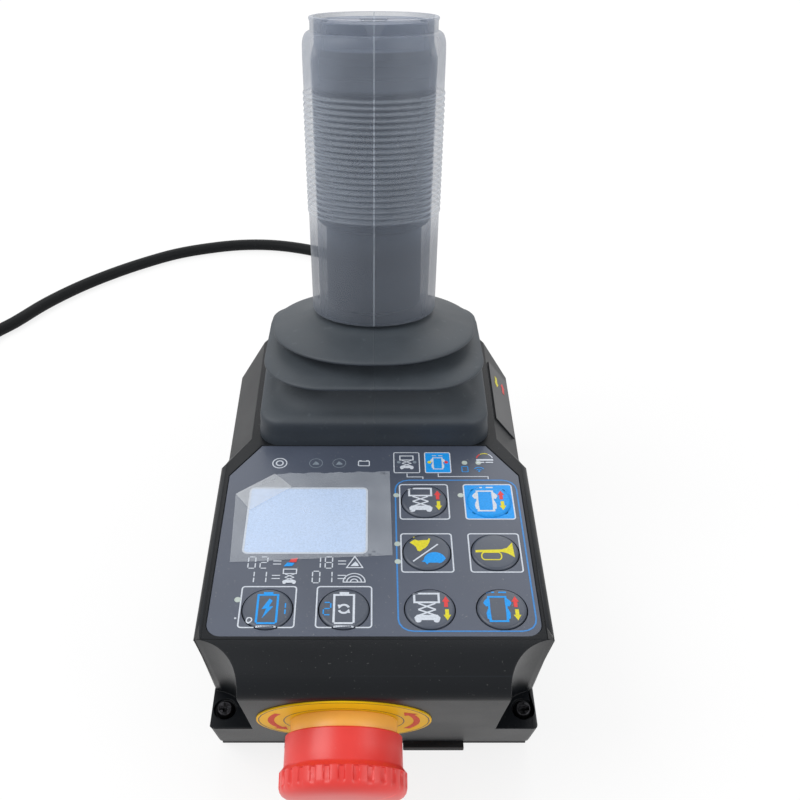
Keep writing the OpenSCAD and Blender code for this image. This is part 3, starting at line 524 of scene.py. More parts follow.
class Inks(Enum):
    """Inks of the panel's prints."""

    WHITE = Ink("white_print", paint(205, 212, 222))
    PALE = Ink("faint_print", paint(128, 140, 152))
    BLUE = Ink("blue_print", paint(28, 150, 232))
    LINE = Ink("blue_frame_print", paint(62, 132, 200))
    YELLOW = Ink("yellow_print", paint(216, 206, 44))
    RED = Ink("red_print", paint(214, 66, 66))
    BLACK = Ink("black_print", paint(40, 30, 22))
    SIGNAL = Ink("signal_red_print", paint(214, 66, 6), shine=0.08)


class Looks(Enum):
    """Finishes of the box's own pieces."""

    HOUSING = Moulded(
        "black_satin_shell", paint(14, 17, 21),
        rough=0.42, grain=0.3, grain_size=0.45, wear=0.5, dust=0.12, shine=0.18,
    )
    PLATE = Moulded(
        "black_powder_coat", paint(36, 36, 37),
        rough=0.5, grain=0.5, grain_size=0.6, wear=0.3, dust=0.2, shine=0.4,
    )
    OVERLAY = Moulded("slate_panel_film", paint(70, 77, 92), rough=0.42, grain=0.2, grain_size=0.22)
    KEY = Moulded(
        "slate_key_film", paint(66, 73, 86), rough=0.38, grain=0.2, grain_size=0.22, wear=0.3, dust=0.2
    )
    ELECTRIC = Moulded("black_nylon", paint(46, 47, 48), rough=0.5, grain=0.3, wear=0.3, dust=0.15)
    BOARD = Moulded("green_lacquer", paint(30, 92, 58), rough=0.3, grain=0.2, grain_size=1.2, dust=0.1)
    CORE = Moulded(
        "dark_grip_core", paint(20, 25, 34), rough=0.7, grain=0.0, grain_size=0.7, dust=0.06, shine=0.12
    )
    CAP = Cloudy("blue_grey_cap", paint(112, 126, 150), centre=0.34, outline=0.55, parting=0.16)
    ROCKER = Moulded(
        "blue_rocker", paint(52, 64, 92), rough=0.35, grain=0.15, grain_size=0.6, wear=0.4, dust=0.1
    )
    RED = Moulded(
        "red_stop_plastic", paint(220, 54, 49), rough=0.36, grain=0.15, grain_size=0.7, wear=0.12, dust=0.06
    )
    COLLAR = Moulded(
        "yellow_collar", paint(240, 184, 90), rough=0.36, grain=0.15, grain_size=0.7, wear=0.15, dust=0.06
    )
    LABEL = Moulded(
        "yellow_label", paint(238, 192, 16), rough=0.5, grain=0.08, grain_size=0.3, dust=0.05, shine=0.12
    )
    BLACK_LABEL = Moulded(
        "black_side_label", paint(38, 39, 43), rough=0.38, grain=0.08, grain_size=0.3, dust=0.2
    )
    LENS = Moulded("milky_lens", paint(172, 184, 178), rough=0.25, grain=0.05, grain_size=0.4, dust=0.0)
    CORD = Moulded("black_cord_sheath", paint(12, 14, 16), rough=0.55, grain=0.3, dust=0.06, shine=0.15)
    SEAL = Moulded("black_seal", paint(30, 30, 31), rough=0.7, grain=0.4, dust=0.2)
    BOOT = Rubber("blue_black_rubber", paint(40, 47, 55))
    SLEEVE = Cloudy("cloudy_sleeve", paint(142, 151, 166))
    SHEET = ThinSheet(
        "display_protection",
        paint(222, 229, 238),
        opacity=0.26,
        scuffs=((-1.0, -63.2, 5.0), (3.4, -22.4, 2.2)),
    )
    FLAP = ThinSheet("folded_protection", paint(232, 236, 240), opacity=0.3)
    # The display glows as painted light, making up for the shade of the sheet over it.
    SCREEN = Ink("pale_display", paint(172, 194, 224), painted_glow=0.24)
    STEEL = Metal("bright_steel", (0.6, 0.6, 0.62))
    ZINC = Metal("zinc_plate", (0.5, 0.5, 0.52), rough=0.4)
    DARK_STEEL = Metal("blackened_steel", (0.05, 0.05, 0.055), rough=0.45)
    BRASS = Metal("turned_brass", (0.75, 0.58, 0.3), rough=0.3)


class Ends(Enum):
    """How a loft's ends are closed."""

    OPEN = "open"
    CLOSED = "closed"
    LOOP = "loop"


def linked(name: str, data: bpy.types.ID) -> bpy.types.Object:
    """New object of that data, in the scene.

    Args:
        name: Name of the object.
        data: Its data.

    Returns:
        The object.
    """
    obj = bpy.data.objects.new(name, data)
    bpy.context.scene.collection.objects.link(obj)
    return obj


def cover(obj: bpy.types.Object, looks: Sequence[Enum]) -> None:
    """Gives an object its finishes, in the order of its faces' numbers.

    Args:
        obj: The object.
        looks: Its finishes.
    """
    obj.data.materials.clear()
    for look in looks:
        obj.data.materials.append(look.value.material())


def tidy(obj: bpy.types.Object, crease: float) -> None:
    """Joins doubled points, turns faces outward and smooths all but sharp edges.

    Args:
        obj: The piece.
        crease: Angle from which an edge stays sharp, in degrees.
    """
    work = bmesh.new()
    work.from_mesh(obj.data)
    bmesh.ops.remove_doubles(work, verts=work.verts, dist=1e-6)
    bmesh.ops.recalc_face_normals(work, faces=work.faces)
    for face in work.faces:
        face.smooth = True
    for edge in work.edges:
        edge.smooth = edge.calc_face_angle(0.0) < math.radians(crease)
    work.to_mesh(obj.data)
    work.free()


def make(
    name: str,
    points: Sequence[Point],
    faces: Sequence[Sequence[int]],
    crease: float,
) -> bpy.types.Object:
    """Makes an object of a mesh given in millimetres.

    Args:
        name: Name of the piece.
        points: Its points.
        faces: Its faces, by the numbers of their points.
        crease: Angle from which an edge stays sharp, in degrees.

    Returns:
        The object, in the scene.
    """
    mesh = bpy.data.meshes.new(name)
    mesh.from_pydata([Vector(p) * MM for p in points], [], faces)
    obj = linked(name, mesh)
    tidy(obj, crease)
    return obj


def loft(name: str, rings: Sequence[Sequence[Point]], ends: Ends, crease: float = 40.0) -> bpy.types.Object:
    """Skins rings of points.

    Args:
        name: Name of the piece.
        rings: Rings with the same number of points each.
        ends: How the ends are closed.
        crease: Angle from which an edge stays sharp, in degrees.

    Returns:
        The object.
    """
    count = len(rings[0])
    points = [point for ring in rings for point in ring]
    spans = len(rings) if ends is Ends.LOOP else len(rings) - 1
    faces = []
    for i in range(spans):
        for j in range(count):
            low, high = i * count, (i + 1) % len(rings) * count
            after = (j + 1) % count
            faces.append((low + j, low + after, high + after, high + j))
    if ends is Ends.CLOSED:
        faces.append(tuple(range(count)))
        faces.append(tuple(range(len(points) - count, len(points))))
    return make(name, points, faces, crease)


def grid(
    name: str,
    columns: int,
    rows: int,
    place: Callable[[float, float], Point],
) -> bpy.types.Object:
    """Makes a sheet of square faces.

    Args:
        name: Name of the piece.
        columns: Number of its columns.
        rows: Number of its rows.
        place: Point at a share of the columns and a share of the rows.

    Returns:
        The object.
    """
    points = [place(i / columns, j / rows) for i in range(columns + 1) for j in range(rows + 1)]
    lows = [i * (rows + 1) + j for i in range(columns) for j in range(rows)]
    faces = [(low, low + rows + 1, low + rows + 2, low + 1) for low in lows]
    return make(name, points, faces, crease=60)


def lathe(
    name: str,
    outline: Sequence[Flat],
    place: Matrix,
    ends: Ends = Ends.LOOP,
    sides: int = 128,
    shape: Callable[[float, int], float] = lambda angle, row: 0.0,
) -> bpy.types.Object:
    """Turns an outline round its axis.

    Args:
        name: Name of the piece.
        outline: Radius and height of each point.
        place: Where the axis stands.
        ends: Whether the outline is a loop.
        sides: Number of steps round.
        shape: What is added to a radius, by angle and by row.

    Returns:
        The object.
    """
    rings = []
    for row, (radius, height) in enumerate(outline):
        ring = []
        for k in range(sides):
            angle = 2 * math.pi * k / sides
            r = radius + shape(angle, row) if radius else 0.0
            ring.append(tuple(place @ Vector((r * math.cos(angle), r * math.sin(angle), height))))
        rings.append(ring)
    return loft(name, rings, ends)


def between(before: float, start: float, end: float, after: float, share: float) -> float:
    """Number at a share of the way from start to end, on a smooth curve through all four.

    Args:
        before: Number before the start.
        start: Number at share 0.
        end: Number at share 1.
        after: Number after the end.
        share: Share of the way.

    Returns:
        The number.
    """
    bend = 2 * before - 5 * start + 4 * end - after
    twist = 3 * start - before - 3 * end + after
    return 0.5 * (2 * start + (end - before) * share + bend * share * share + twist * share**3)


def curved(rows: Sequence[Sequence[float]], steps: int) -> list[tuple[float, ...]]:
    """Runs a smooth curve through rows of numbers.

    Args:
        rows: Rows that it passes through.
        steps: Steps from each row to the next.

    Returns:
        All rows of the curve.
    """
    made = []
    last = len(rows) - 1
    for i in range(last):
        parts = list(zip(rows[max(i - 1, 0)], rows[i], rows[i + 1], rows[min(i + 2, last)]))
        for k in range(steps):
            made.append(tuple(between(*part, k / steps) for part in parts))
    made.append(tuple(rows[last]))
    return made


def rounded(width: float, depth: float, radius: float, steps: int = 12) -> list[Flat]:
    """Outline of a rectangle with round corners, about the middle.

    Args:
        width: Its size along X.
        depth: Its size along Y.
        radius: Radius of its corners.
        steps: Steps of each corner.

    Returns:
        Its points, counter-clockwise.
    """
    made = []
    for k in range(4):
        across = 1 if k in (0, 3) else -1
        along = 1 if k < 2 else -1
        centre = (across * (width / 2 - radius), along * (depth / 2 - radius))
        for j in range(steps + 1):
            made.append(polar(centre, radius, math.radians(90 * k + 90 * j / steps)))
    return made


def divided(points: Sequence[Flat], longest: float, closed: bool = True) -> list[Flat]:
    """Adds points along the sides of a line, so that it can follow a curved face.

    Args:
        points: Points that it runs through.
        longest: About how long a side may be.
        closed: Whether it comes back to its start.

    Returns:
        The same line in shorter sides.
    """
    result = []
    for i, start in enumerate(points):
        result.append(start)
        if i == len(points) - 1 and not closed:
            break
        end = points[(i + 1) % len(points)]
        parts = min(int(math.dist(start, end) / longest), 32)
        for k in range(1, parts):
            share = k / parts
            result.append(tuple(a + (b - a) * share for a, b in zip(start, end)))
    return result


def dress(
    obj: bpy.types.Object,
    body: str,
    looks: Enum | Sequence[Enum],
    stands_for: Sequence[str] = (),
) -> bpy.types.Object:
    """Gives a piece its finish, its body and the nodes that it stands for.

    Args:
        obj: The piece.
        body: Body that it rides on.
        looks: One finish, or several in the order of its faces' numbers.
        stands_for: Nodes of the model that it replaces.

    Returns:
        The piece.
    """
    cover(obj, [looks] if isinstance(looks, Enum) else looks)
    if obj.parent is None and "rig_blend" not in obj:
        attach(obj, body)
    if stands_for:
        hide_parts(*stands_for)
    log.info("%s rides on %s", obj.name, body)
    return obj


def soften(
    node: str,
    width: float,
    looks: Looks,
    outer: float = 0.0,
) -> bpy.types.Object:
    """Makes a piece of a node's shape with its edges rounded.

    Args:
        node: The node.
        width: Width of the rounding in millimetres.
        looks: Its finish.
        outer: Width of the rounding along the outermost side edges, where it is greater.

    Returns:
        The piece, which rides on the console and stands for the node.
    """
    mesh = frame["nodes"][node].data.copy()
    work = bmesh.new()
    work.from_mesh(mesh)
    bmesh.ops.remove_doubles(work, verts=work.verts, dist=1e-6)
    bmesh.ops.dissolve_limit(work, angle_limit=math.radians(0.5), verts=work.verts, edges=work.edges)
    for face in work.faces:
        face.smooth = True
    weights = work.edges.layers.float.new("bevel_weight_edge")
    side = max(v.co.x for v in work.verts) - 0.1 * MM
    widest = max(outer, width)
    for edge in work.edges:
        edge.smooth = edge.calc_face_angle(0.0) < math.radians(40)
        outermost = all(abs(v.co.x) > side for v in edge.verts)
        if not edge.smooth:
            edge[weights] = 1.0 if outermost else width / widest
    work.to_mesh(mesh)
    work.free()
    obj = linked(node + "_shaped", mesh)
    bevel = obj.modifiers.new("rounded_edges", "BEVEL")
    bevel.width = widest * MM
    bevel.segments = 3
    bevel.limit_method = "WEIGHT"
    bevel.use_clamp_overlap = False
    bevel.harden_normals = True
    return dress(obj, "console", looks, [node])


@dataclass
class Stencil:
    """Flat prints on one face, gathered by ink and made as one piece.

    Attributes:
        name: Name of the piece.
        place: Where the face's own origin and axes stand.
        rise: Height of the face at a point.
        layer: How far each layer of ink lies above the one before.
        step: How far each shape lies above the one before, so that none share a plane.
        finest: About how long a side of a line may be.
        shapes: Ink, points, faces and layer of each shape.
    """

    name: str
    place: Matrix
    rise: Callable[[float, float], float]
    layer: float = 0.015
    step: float = 0.0012
    finest: float = 0.7
    shapes: list[tuple[Inks, list[Flat], list[tuple[int, ...]], int]] = field(default_factory=list)

    def area(self, ink: Inks, points: Sequence[Flat], layer: int = 1) -> None:
        """Adds a filled outline."""
        self.shapes.append((ink, list(points), [tuple(range(len(points)))], layer))

    def line(
        self,
        ink: Inks,
        points: Sequence[Flat],
        width: float,
        closed: bool = False,
        layer: int = 1,
    ) -> None:
        """Adds a line with mitred corners.

        Args:
            ink: Its ink.
            points: Points that it runs through.
            width: Its width.
            closed: Whether it comes back to its start.
            layer: Order in which it is printed.
        """
        points = divided(points, self.finest, closed)
        count = len(points)
        least = 0.35
        sides = []
        for i, point in enumerate(points):
            here = Vector(point)
            before = Vector(points[i - 1]) if closed or i else here
            after = Vector(points[(i + 1) % count]) if closed or i < count - 1 else here
            a = (here - before).normalized() if before != here else (after - here).normalized()
            b = (after - here).normalized() if after != here else a
            along = (a + b).normalized()
            reach = width / 2 / max(along.dot(a), least)
            across = Vector((-along.y, along.x)) * reach
            sides.append((here + across, here - across))
        flat = [tuple(p) for pair in sides for p in pair]
        pairs = [(2 * i, 2 * ((i + 1) % count)) for i in range(count if closed else count - 1)]
        faces = [(a, a + 1, b + 1, b) for a, b in pairs]
        self.shapes.append((ink, flat, faces, layer))

    def arc(
        self,
        ink: Inks,
        centre: Flat,
        radius: float,
        width: float,
        start: float = 0,
        end: float = 360,
        layer: int = 1,
    ) -> None:
        """Adds a round line.

        Args:
            ink: Its ink.
            centre: Its middle.
            radius: Its radius.
            width: Its width.
            start: Angle that it starts from, in degrees.
            end: Angle that it goes to, in degrees.
            layer: Order in which it is printed.
        """
        full = abs(end - start) >= 360
        count = max(8, int(abs(end - start) / 10))
        angles = [start + (end - start) * k / count for k in range(count + (0 if full else 1))]
        points = [polar(centre, radius, math.radians(a)) for a in angles]
        self.line(ink, points, width, full, layer)

    def disc(self, ink: Inks, centre: Flat, wide: float, high: float = 0.0, layer: int = 1) -> None:
        """Adds a filled circle, or an ellipse where it has a second radius.

        Args:
            ink: Its ink.
            centre: Its middle.
            wide: Its radius, or half of its width.
            high: Half of its height, where that differs.
            layer: Order in which it is printed.
        """
        sides = 20
        angles = [2 * math.pi * k / sides for k in range(sides)]
        points = [(wide * math.cos(a), (high or wide) * math.sin(a)) for a in angles]
        self.area(ink, [(centre[0] + x, centre[1] + y) for x, y in points], layer)

    def box(
        self,
        ink: Inks,
        centre: Flat,
        size: Flat,
        width: float = 0.0,
        radius: float = 0.3,
        layer: int = 1,
    ) -> None:
        """Adds a rectangle, filled where its line has no width.

        Args:
            ink: Its ink.
            centre: Its middle.
            size: Its width and depth.
            width: Width of its line.
            radius: Radius of its corners.
            layer: Order in which it is printed.
        """
        points = [(centre[0] + x, centre[1] + y) for x, y in rounded(*size, radius, steps=4)]
        if width:
            self.line(ink, points, width, True, layer)
        else:
            self.area(ink, points, layer)

    def arrow(
        self,
        ink: Inks,
        centre: Flat,
        length: float,
        width: float,
        turn: float,
        layer: int = 2,
    ) -> None:
        """Adds an arrow.

        Args:
            ink: Its ink.
            centre: Its middle.
            length: Its length.
            width: Length of its head, which is a little wider.
            turn: Angle that it points along, in degrees.
            layer: Order in which it is printed.
        """
        tip = length / 2
        neck = tip - width
        shaft = width / 2 * 0.55
        head = width / 2 * 1.1
        shape = [(-tip, -shaft), (neck, -shaft), (neck, -head), (tip, 0)]
        shape += [(neck, head), (neck, shaft), (-tip, shaft)]
        c, s = math.cos(math.radians(turn)), math.sin(math.radians(turn))
        self.area(ink, [(centre[0] + x * c - y * s, centre[1] + x * s + y * c) for x, y in shape], layer)

    def digit(self, ink: Inks, number: int, centre: Flat, size: Flat, width: float) -> None:
        """Adds a digit of seven bars.

        Args:
            ink: Its ink.
            number: The digit.
            centre: Its middle.
            size: Its width and height.
            width: Width of its bars.
        """
        w, h = size[0] / 2, size[1] / 2
        gap = width * 0.7
        bars = [
            ((-w + gap, h), (w - gap, h)), ((w, h - gap), (w, gap)), ((w, -gap), (w, -h + gap)),
            ((-w + gap, -h), (w - gap, -h)), ((-w, -gap), (-w, -h + gap)), ((-w, h - gap), (-w, gap)),
            ((-w + gap, 0), (w - gap, 0)),
        ]
        lit = ("012345", "12", "01346", "01236", "1256", "02356", "023456", "012", "0123456", "012356")
        for bar in lit[number]:
            ends = [(centre[0] + x, centre[1] + y) for x, y in bars[int(bar)]]
            self.line(ink, ends, width)

    def print(self, body: str) -> bpy.types.Object:
        """Makes the piece.

        Args:
            body: Body that it rides on.

        Returns:
            The piece.
        """
        inks = sorted({shape[0] for shape in self.shapes}, key=lambda ink: ink.name)
        points, faces, numbers = [], [], []
        for order, (ink, flat, polygons, layer) in enumerate(self.shapes):
            base = len(points)
            lift = layer * self.layer + order * self.step
            points += [(x, y, self.rise(x, y) + lift) for x, y in flat]
            faces += [tuple(base + k for k in polygon) for polygon in polygons]
            numbers += [inks.index(ink)] * len(polygons)
        mesh = bpy.data.meshes.new(self.name)
        mesh.from_pydata([(self.place @ Vector(p)) * MM for p in points], [], faces)
        up = self.place.to_3x3() @ Vector((0, 0, 1))
        for polygon in mesh.polygons:
            if polygon.normal.dot(up) < 0:
                polygon.flip()
        obj = linked(self.name, mesh)
        dress(obj, body, inks)
        mesh.polygons.foreach_set("material_index", numbers)
        mesh.update()
        return obj


@dataclass
class Studio:
    """Camera, lamps, floor and world.

    Attributes:
        lens: Focal length.
        sensor: Width of the frame behind the lens.
        tilt: Angle between the view and straight down, in degrees.
        shift: Sideways shift of the frame.
        eye: Where the camera stands.
        floor_size: Side of the floor.
        floor_gap: How far the floor lies below the model.
        ambient: Strength of the world's light.
    """

    lens: float = 46.5
    sensor: float = 36.0
    tilt: float = 50.7
    shift: float = 0.0325
    eye: Point = (0.0, -309.4, 351.5)
    floor_size: float = 9000.0
    floor_gap: float = 0.05
    ambient: float = 0.55

    def camera(self) -> None:
        """Places the camera where the photograph was taken from."""
        data = bpy.data.cameras.new("camera")
        data.lens = self.lens
        data.sensor_width = self.sensor
        data.shift_x = self.shift
        obj = linked("camera", data)
        obj.location = Vector(self.eye) * MM
        obj.rotation_euler = (math.radians(self.tilt), 0, 0)
        bpy.context.scene.camera = obj

    def lamp(self, name: str, place: Point, target: Point, size: float, power: float) -> None:
        """Adds a soft square lamp that looks at a point.

        Args:
            name: Name of the lamp.
            place: Where it stands.
            target: Point that it looks at.
            size: Its side in millimetres.
            power: Its power in watts.
        """
        data = bpy.data.lights.new(name, "AREA")
        data.size = size * MM
        data.energy = power
        obj = linked(name, data)
        obj.location = Vector(place) * MM
        obj.rotation_euler = (Vector(target) - Vector(place)).to_track_quat("-Z", "Y").to_euler()

    def background(self, shader: Shader) -> Expr:
        """Share that is 1 for what the camera sees straight, mirrored or through clear pieces.

        Args:
            shader: The shader to add to.

        Returns:
            The share.
        """
        seen = shader.node("ShaderNodeLightPath", output="Is Camera Ray")
        mirrored = shader.node("ShaderNodeLightPath", output="Is Glossy Ray")
        through = shader.node("ShaderNodeLightPath", output="Is Transmission Ray")
        pair = shader.node("ShaderNodeMath", {"operation": "MAXIMUM"}, {0: seen, 1: mirrored})
        return shader.node("ShaderNodeMath", {"operation": "MAXIMUM"}, {0: pair, 1: through})

    def floor(self) -> None:
        """Lays a nearly white floor that keeps the shadow."""
        half = self.floor_size / 2
        corners = [(x * half, y * half, -self.floor_gap) for x, y in ((-1, -1), (1, -1), (1, 1), (-1, 1))]
        obj = make("floor", corners, [(0, 1, 2, 3)], crease=30)
        shader = Shader("pale_floor")
        matt = shader.node("ShaderNodeBsdfDiffuse", {}, {"Color": (0.93, 0.93, 0.93)})
        white = shader.node("ShaderNodeEmission", {}, {"Color": (1.0, 1.0, 1.0), "Strength": 1.0})
        share = self.background(shader) * 0.82
        both = shader.node("ShaderNodeMixShader", {}, {0: share, 1: matt, 2: white})
        shader.node("ShaderNodeOutputMaterial", {}, {"Surface": both})
        obj.data.materials.append(shader.material)

    def world(self) -> None:
        """Sets a white background and a soft even light."""
        world = bpy.data.worlds.new("studio")
        world.use_nodes = True
        bpy.context.scene.world = world
        shader = Shader("studio_nodes")
        bpy.data.materials.remove(shader.material)
        shader.material = None
        shader.tree = world.node_tree
        shader.tree.nodes.clear()
        strength = self.background(shader) * (1 - self.ambient) + self.ambient
        light = shader.node("ShaderNodeBackground", {}, {"Color": (1.0, 1.0, 1.0), "Strength": strength})
        shader.node("ShaderNodeOutputWorld", {}, {"Surface": light})

    def build(self) -> None:
        """Makes everything round the object."""
        self.floor()
        self.world()
        self.lamp("window_left", (-900, -150, 1100), (0, 0, 80), size=900, power=11)
        self.lamp("window_right", (1000, -500, 800), (0, 0, 80), size=800, power=5)
        self.lamp("sky_behind", (100, 1200, 900), (0, 0, 100), size=1000, power=7)
        bpy.context.scene.view_settings.view_transform = "Standard"


@dataclass
class Cord:
    """Cord with its strain relief, its stored coil and its connector.

    Attributes:
        diameter: Its diameter.
        coil_turns: Turns of the coil.
        coil_gap: Gap between turns.
        coil_radius: Radius of the smallest turn.
        loop_points: Points of each turn.
        steps: Steps from each chosen point to the next.
    """

    diameter: float = 7.0
    coil_turns: float = 4.5
    coil_gap: float = 0.6
    coil_radius: float = 31.5
    loop_points: int = 24
    steps: int = 4

    def route(self) -> list[Point]:
        """Points chosen from the strain relief to the coil, then the coil, then the tail.

        Returns:
            The points in millimetres.
        """
        free = [
            (10, 138, 24), (10, 146, 24), (10, 155, 22.5), (9.5, 166, 18), (8.5, 178, 11.5), (7, 191, 5.8),
            (4, 205, 3.6), (0, 220, 3.5), (-7, 237, 3.5), (-17, 252, 3.5), (-31, 264, 3.5), (-48, 271, 3.5),
            (-67, 275, 3.5), (-87, 275, 3.5), (-107, 271, 3.5), (-127, 264, 3.5), (-146, 253, 3.5),
            (-164, 240, 3.5), (-181, 225, 3.5), (-197, 207, 3.5), (-210, 188, 3.5), (-220, 176, 3.5),
            (-224.6, 166, 3.5), (-224.6, 157, 3.5),
        ]
        pitch = self.diameter + self.coil_gap
        outer = self.coil_radius + pitch * self.coil_turns / 2
        x, y = free[-1][0] - outer, free[-1][1] - self.diameter
        coil = []
        for k in range(int(self.loop_points * self.coil_turns) + 1):
            turn = k / self.loop_points
            radius = self.coil_radius + pitch * abs(turn - self.coil_turns / 2)
            share = clamped((turn - self.coil_turns / 2) * 2 + 0.5)
            height = self.diameter / 2 + pitch * share * share * (3 - 2 * share)
            coil.append((*polar((x, y), radius, -2 * math.pi * turn), height))
        end = (x - outer, y + self.diameter, self.diameter / 2 + pitch)
        offsets = [(0, 0, 0), (0, 7, 0), (-0.5, 17, -0.5), (-1, 27, -1.7), (-1.2, 37, -2.1), (-1.2, 46, -2.1)]
        tail = [(end[0] + a, end[1] + b, end[2] + c) for a, b, c in offsets]
        line = curved(free, self.steps) + coil + curved(tail, self.steps)
        return [(a, b, max(c, self.diameter / 2)) for a, b, c in line]

    def sheath(self) -> None:
        """Makes the cord as one curve and declares its real length."""
        points = self.route()
        data = bpy.data.curves.new("cord_sheath", "CURVE")
        data.dimensions = "3D"
        data.bevel_depth = self.diameter / 2 * MM
        data.bevel_resolution = 5
        data.use_fill_caps = True
        spline = data.splines.new("POLY")
        spline.points.add(len(points) - 1)
        for made, point in zip(spline.points, points):
            made.co = (*(Vector(point) * MM), 1)
        spline.use_smooth = True
        obj = linked("cord_sheath", data)
        dress(obj, "console", Looks.CORD, ["cord_run", "cord_coil", "cord_tail"])
        length = sum((Vector(b) - Vector(a)).length for a, b in zip(points, points[1:])) * MM
        log.info("cord is %.3f m long", length)
        tuple(Vector(points[0]) * MM)

    def build(self) -> None:
        """Makes the pieces at both ends, then the cord."""
        soften("connector_body", width=0.5, looks=Looks.ELECTRIC)
        soften("connector_ring", width=0.5, looks=Looks.STEEL)
        soften("cable_gland", width=0.4, looks=Looks.ELECTRIC)
        soften("strain_relief", width=0.3, looks=Looks.CORD)
        self.sheath()


@dataclass
class Boot:
    """Rubber boot round the lever.

    Attributes:
        width: Its greatest width.
        depth: Its greatest depth.
        height: Its height over the panel.
        middle: Middle of its foot along Y.
        rows: Shares of each ring: height, lean, width, depth and radius of its corners.
    """

    width: float = 91.0
    depth: float = 82.0
    height: float = 33.0
    middle: float = 35.0
    rows: tuple[tuple[float, ...], ...] = (
        (0, 0, 1, 1, 0.22), (0.06, 0, 0.998, 0.998, 0.22), (0.16, 0, 0.99, 0.988, 0.22),
        (0.29, 0, 0.985, 0.98, 0.22), (0.335, 0, 0.965, 0.96, 0.23), (0.36, 0.02, 0.92, 0.92, 0.28),
        (0.39, 0.1, 0.84, 0.84, 0.4), (0.49, 0.4, 0.72, 0.76, 0.6), (0.545, 0.58, 0.9, 0.94, 0.6),
        (0.57, 0.6, 0.955, 0.995, 0.62), (0.59, 0.6, 0.965, 1.005, 0.62), (0.612, 0.61, 0.95, 0.99, 0.62),
        (0.64, 0.64, 0.88, 0.92, 0.64), (0.69, 0.8, 0.73, 0.8, 0.8), (0.742, 0.9, 0.85, 0.945, 0.92),
        (0.762, 0.9, 0.893, 0.992, 0.93), (0.78, 0.9, 0.9, 1, 0.93), (0.8, 0.91, 0.888, 0.985, 0.93),
        (0.83, 0.93, 0.82, 0.91, 0.93), (0.9, 1, 0.62, 0.69, 0.95), (0.965, 1, 0.5, 0.555, 0.95),
        (0.978, 1, 0.2, 0.22, 0.95),
    )

    def ring(self, row: Sequence[float]) -> list[Point]:
        """Points of one ring, tilted and moved along the lever's line.

        Args:
            row: Its shares, as in rows.

        Returns:
            The points.
        """
        up, lean, wide, deep, corner = row
        z = up * self.height
        tilt = math.radians(LEAN) * lean
        half_w, half_d = wide * self.width / 2, deep * self.depth / 2
        line = PIVOT[1] + (z + PANEL_Z - PIVOT[2]) * math.tan(math.radians(LEAN))
        centre = self.middle + lean * (line - self.middle)
        outline = rounded(2 * half_w, 2 * half_d, corner * min(half_w, half_d), steps=23)
        base = PANEL_Z + 0.05 + z
        return [(x, centre + y * math.cos(tilt), base - y * math.sin(tilt)) for x, y in outline]

    def build(self) -> None:
        """Makes the boot, which bends between the box and the lever."""
        rings = [self.ring(row) for row in curved(self.rows, steps=3)]
        obj = loft("bellows_boot", rings, Ends.OPEN, crease=60)
        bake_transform(obj, "console", "joystick_arm", (0, 0.035, 0.092), (0, 0.041, 0.1125))
        dress(obj, "console and joystick_arm", Looks.BOOT, ["rubber_boot"])


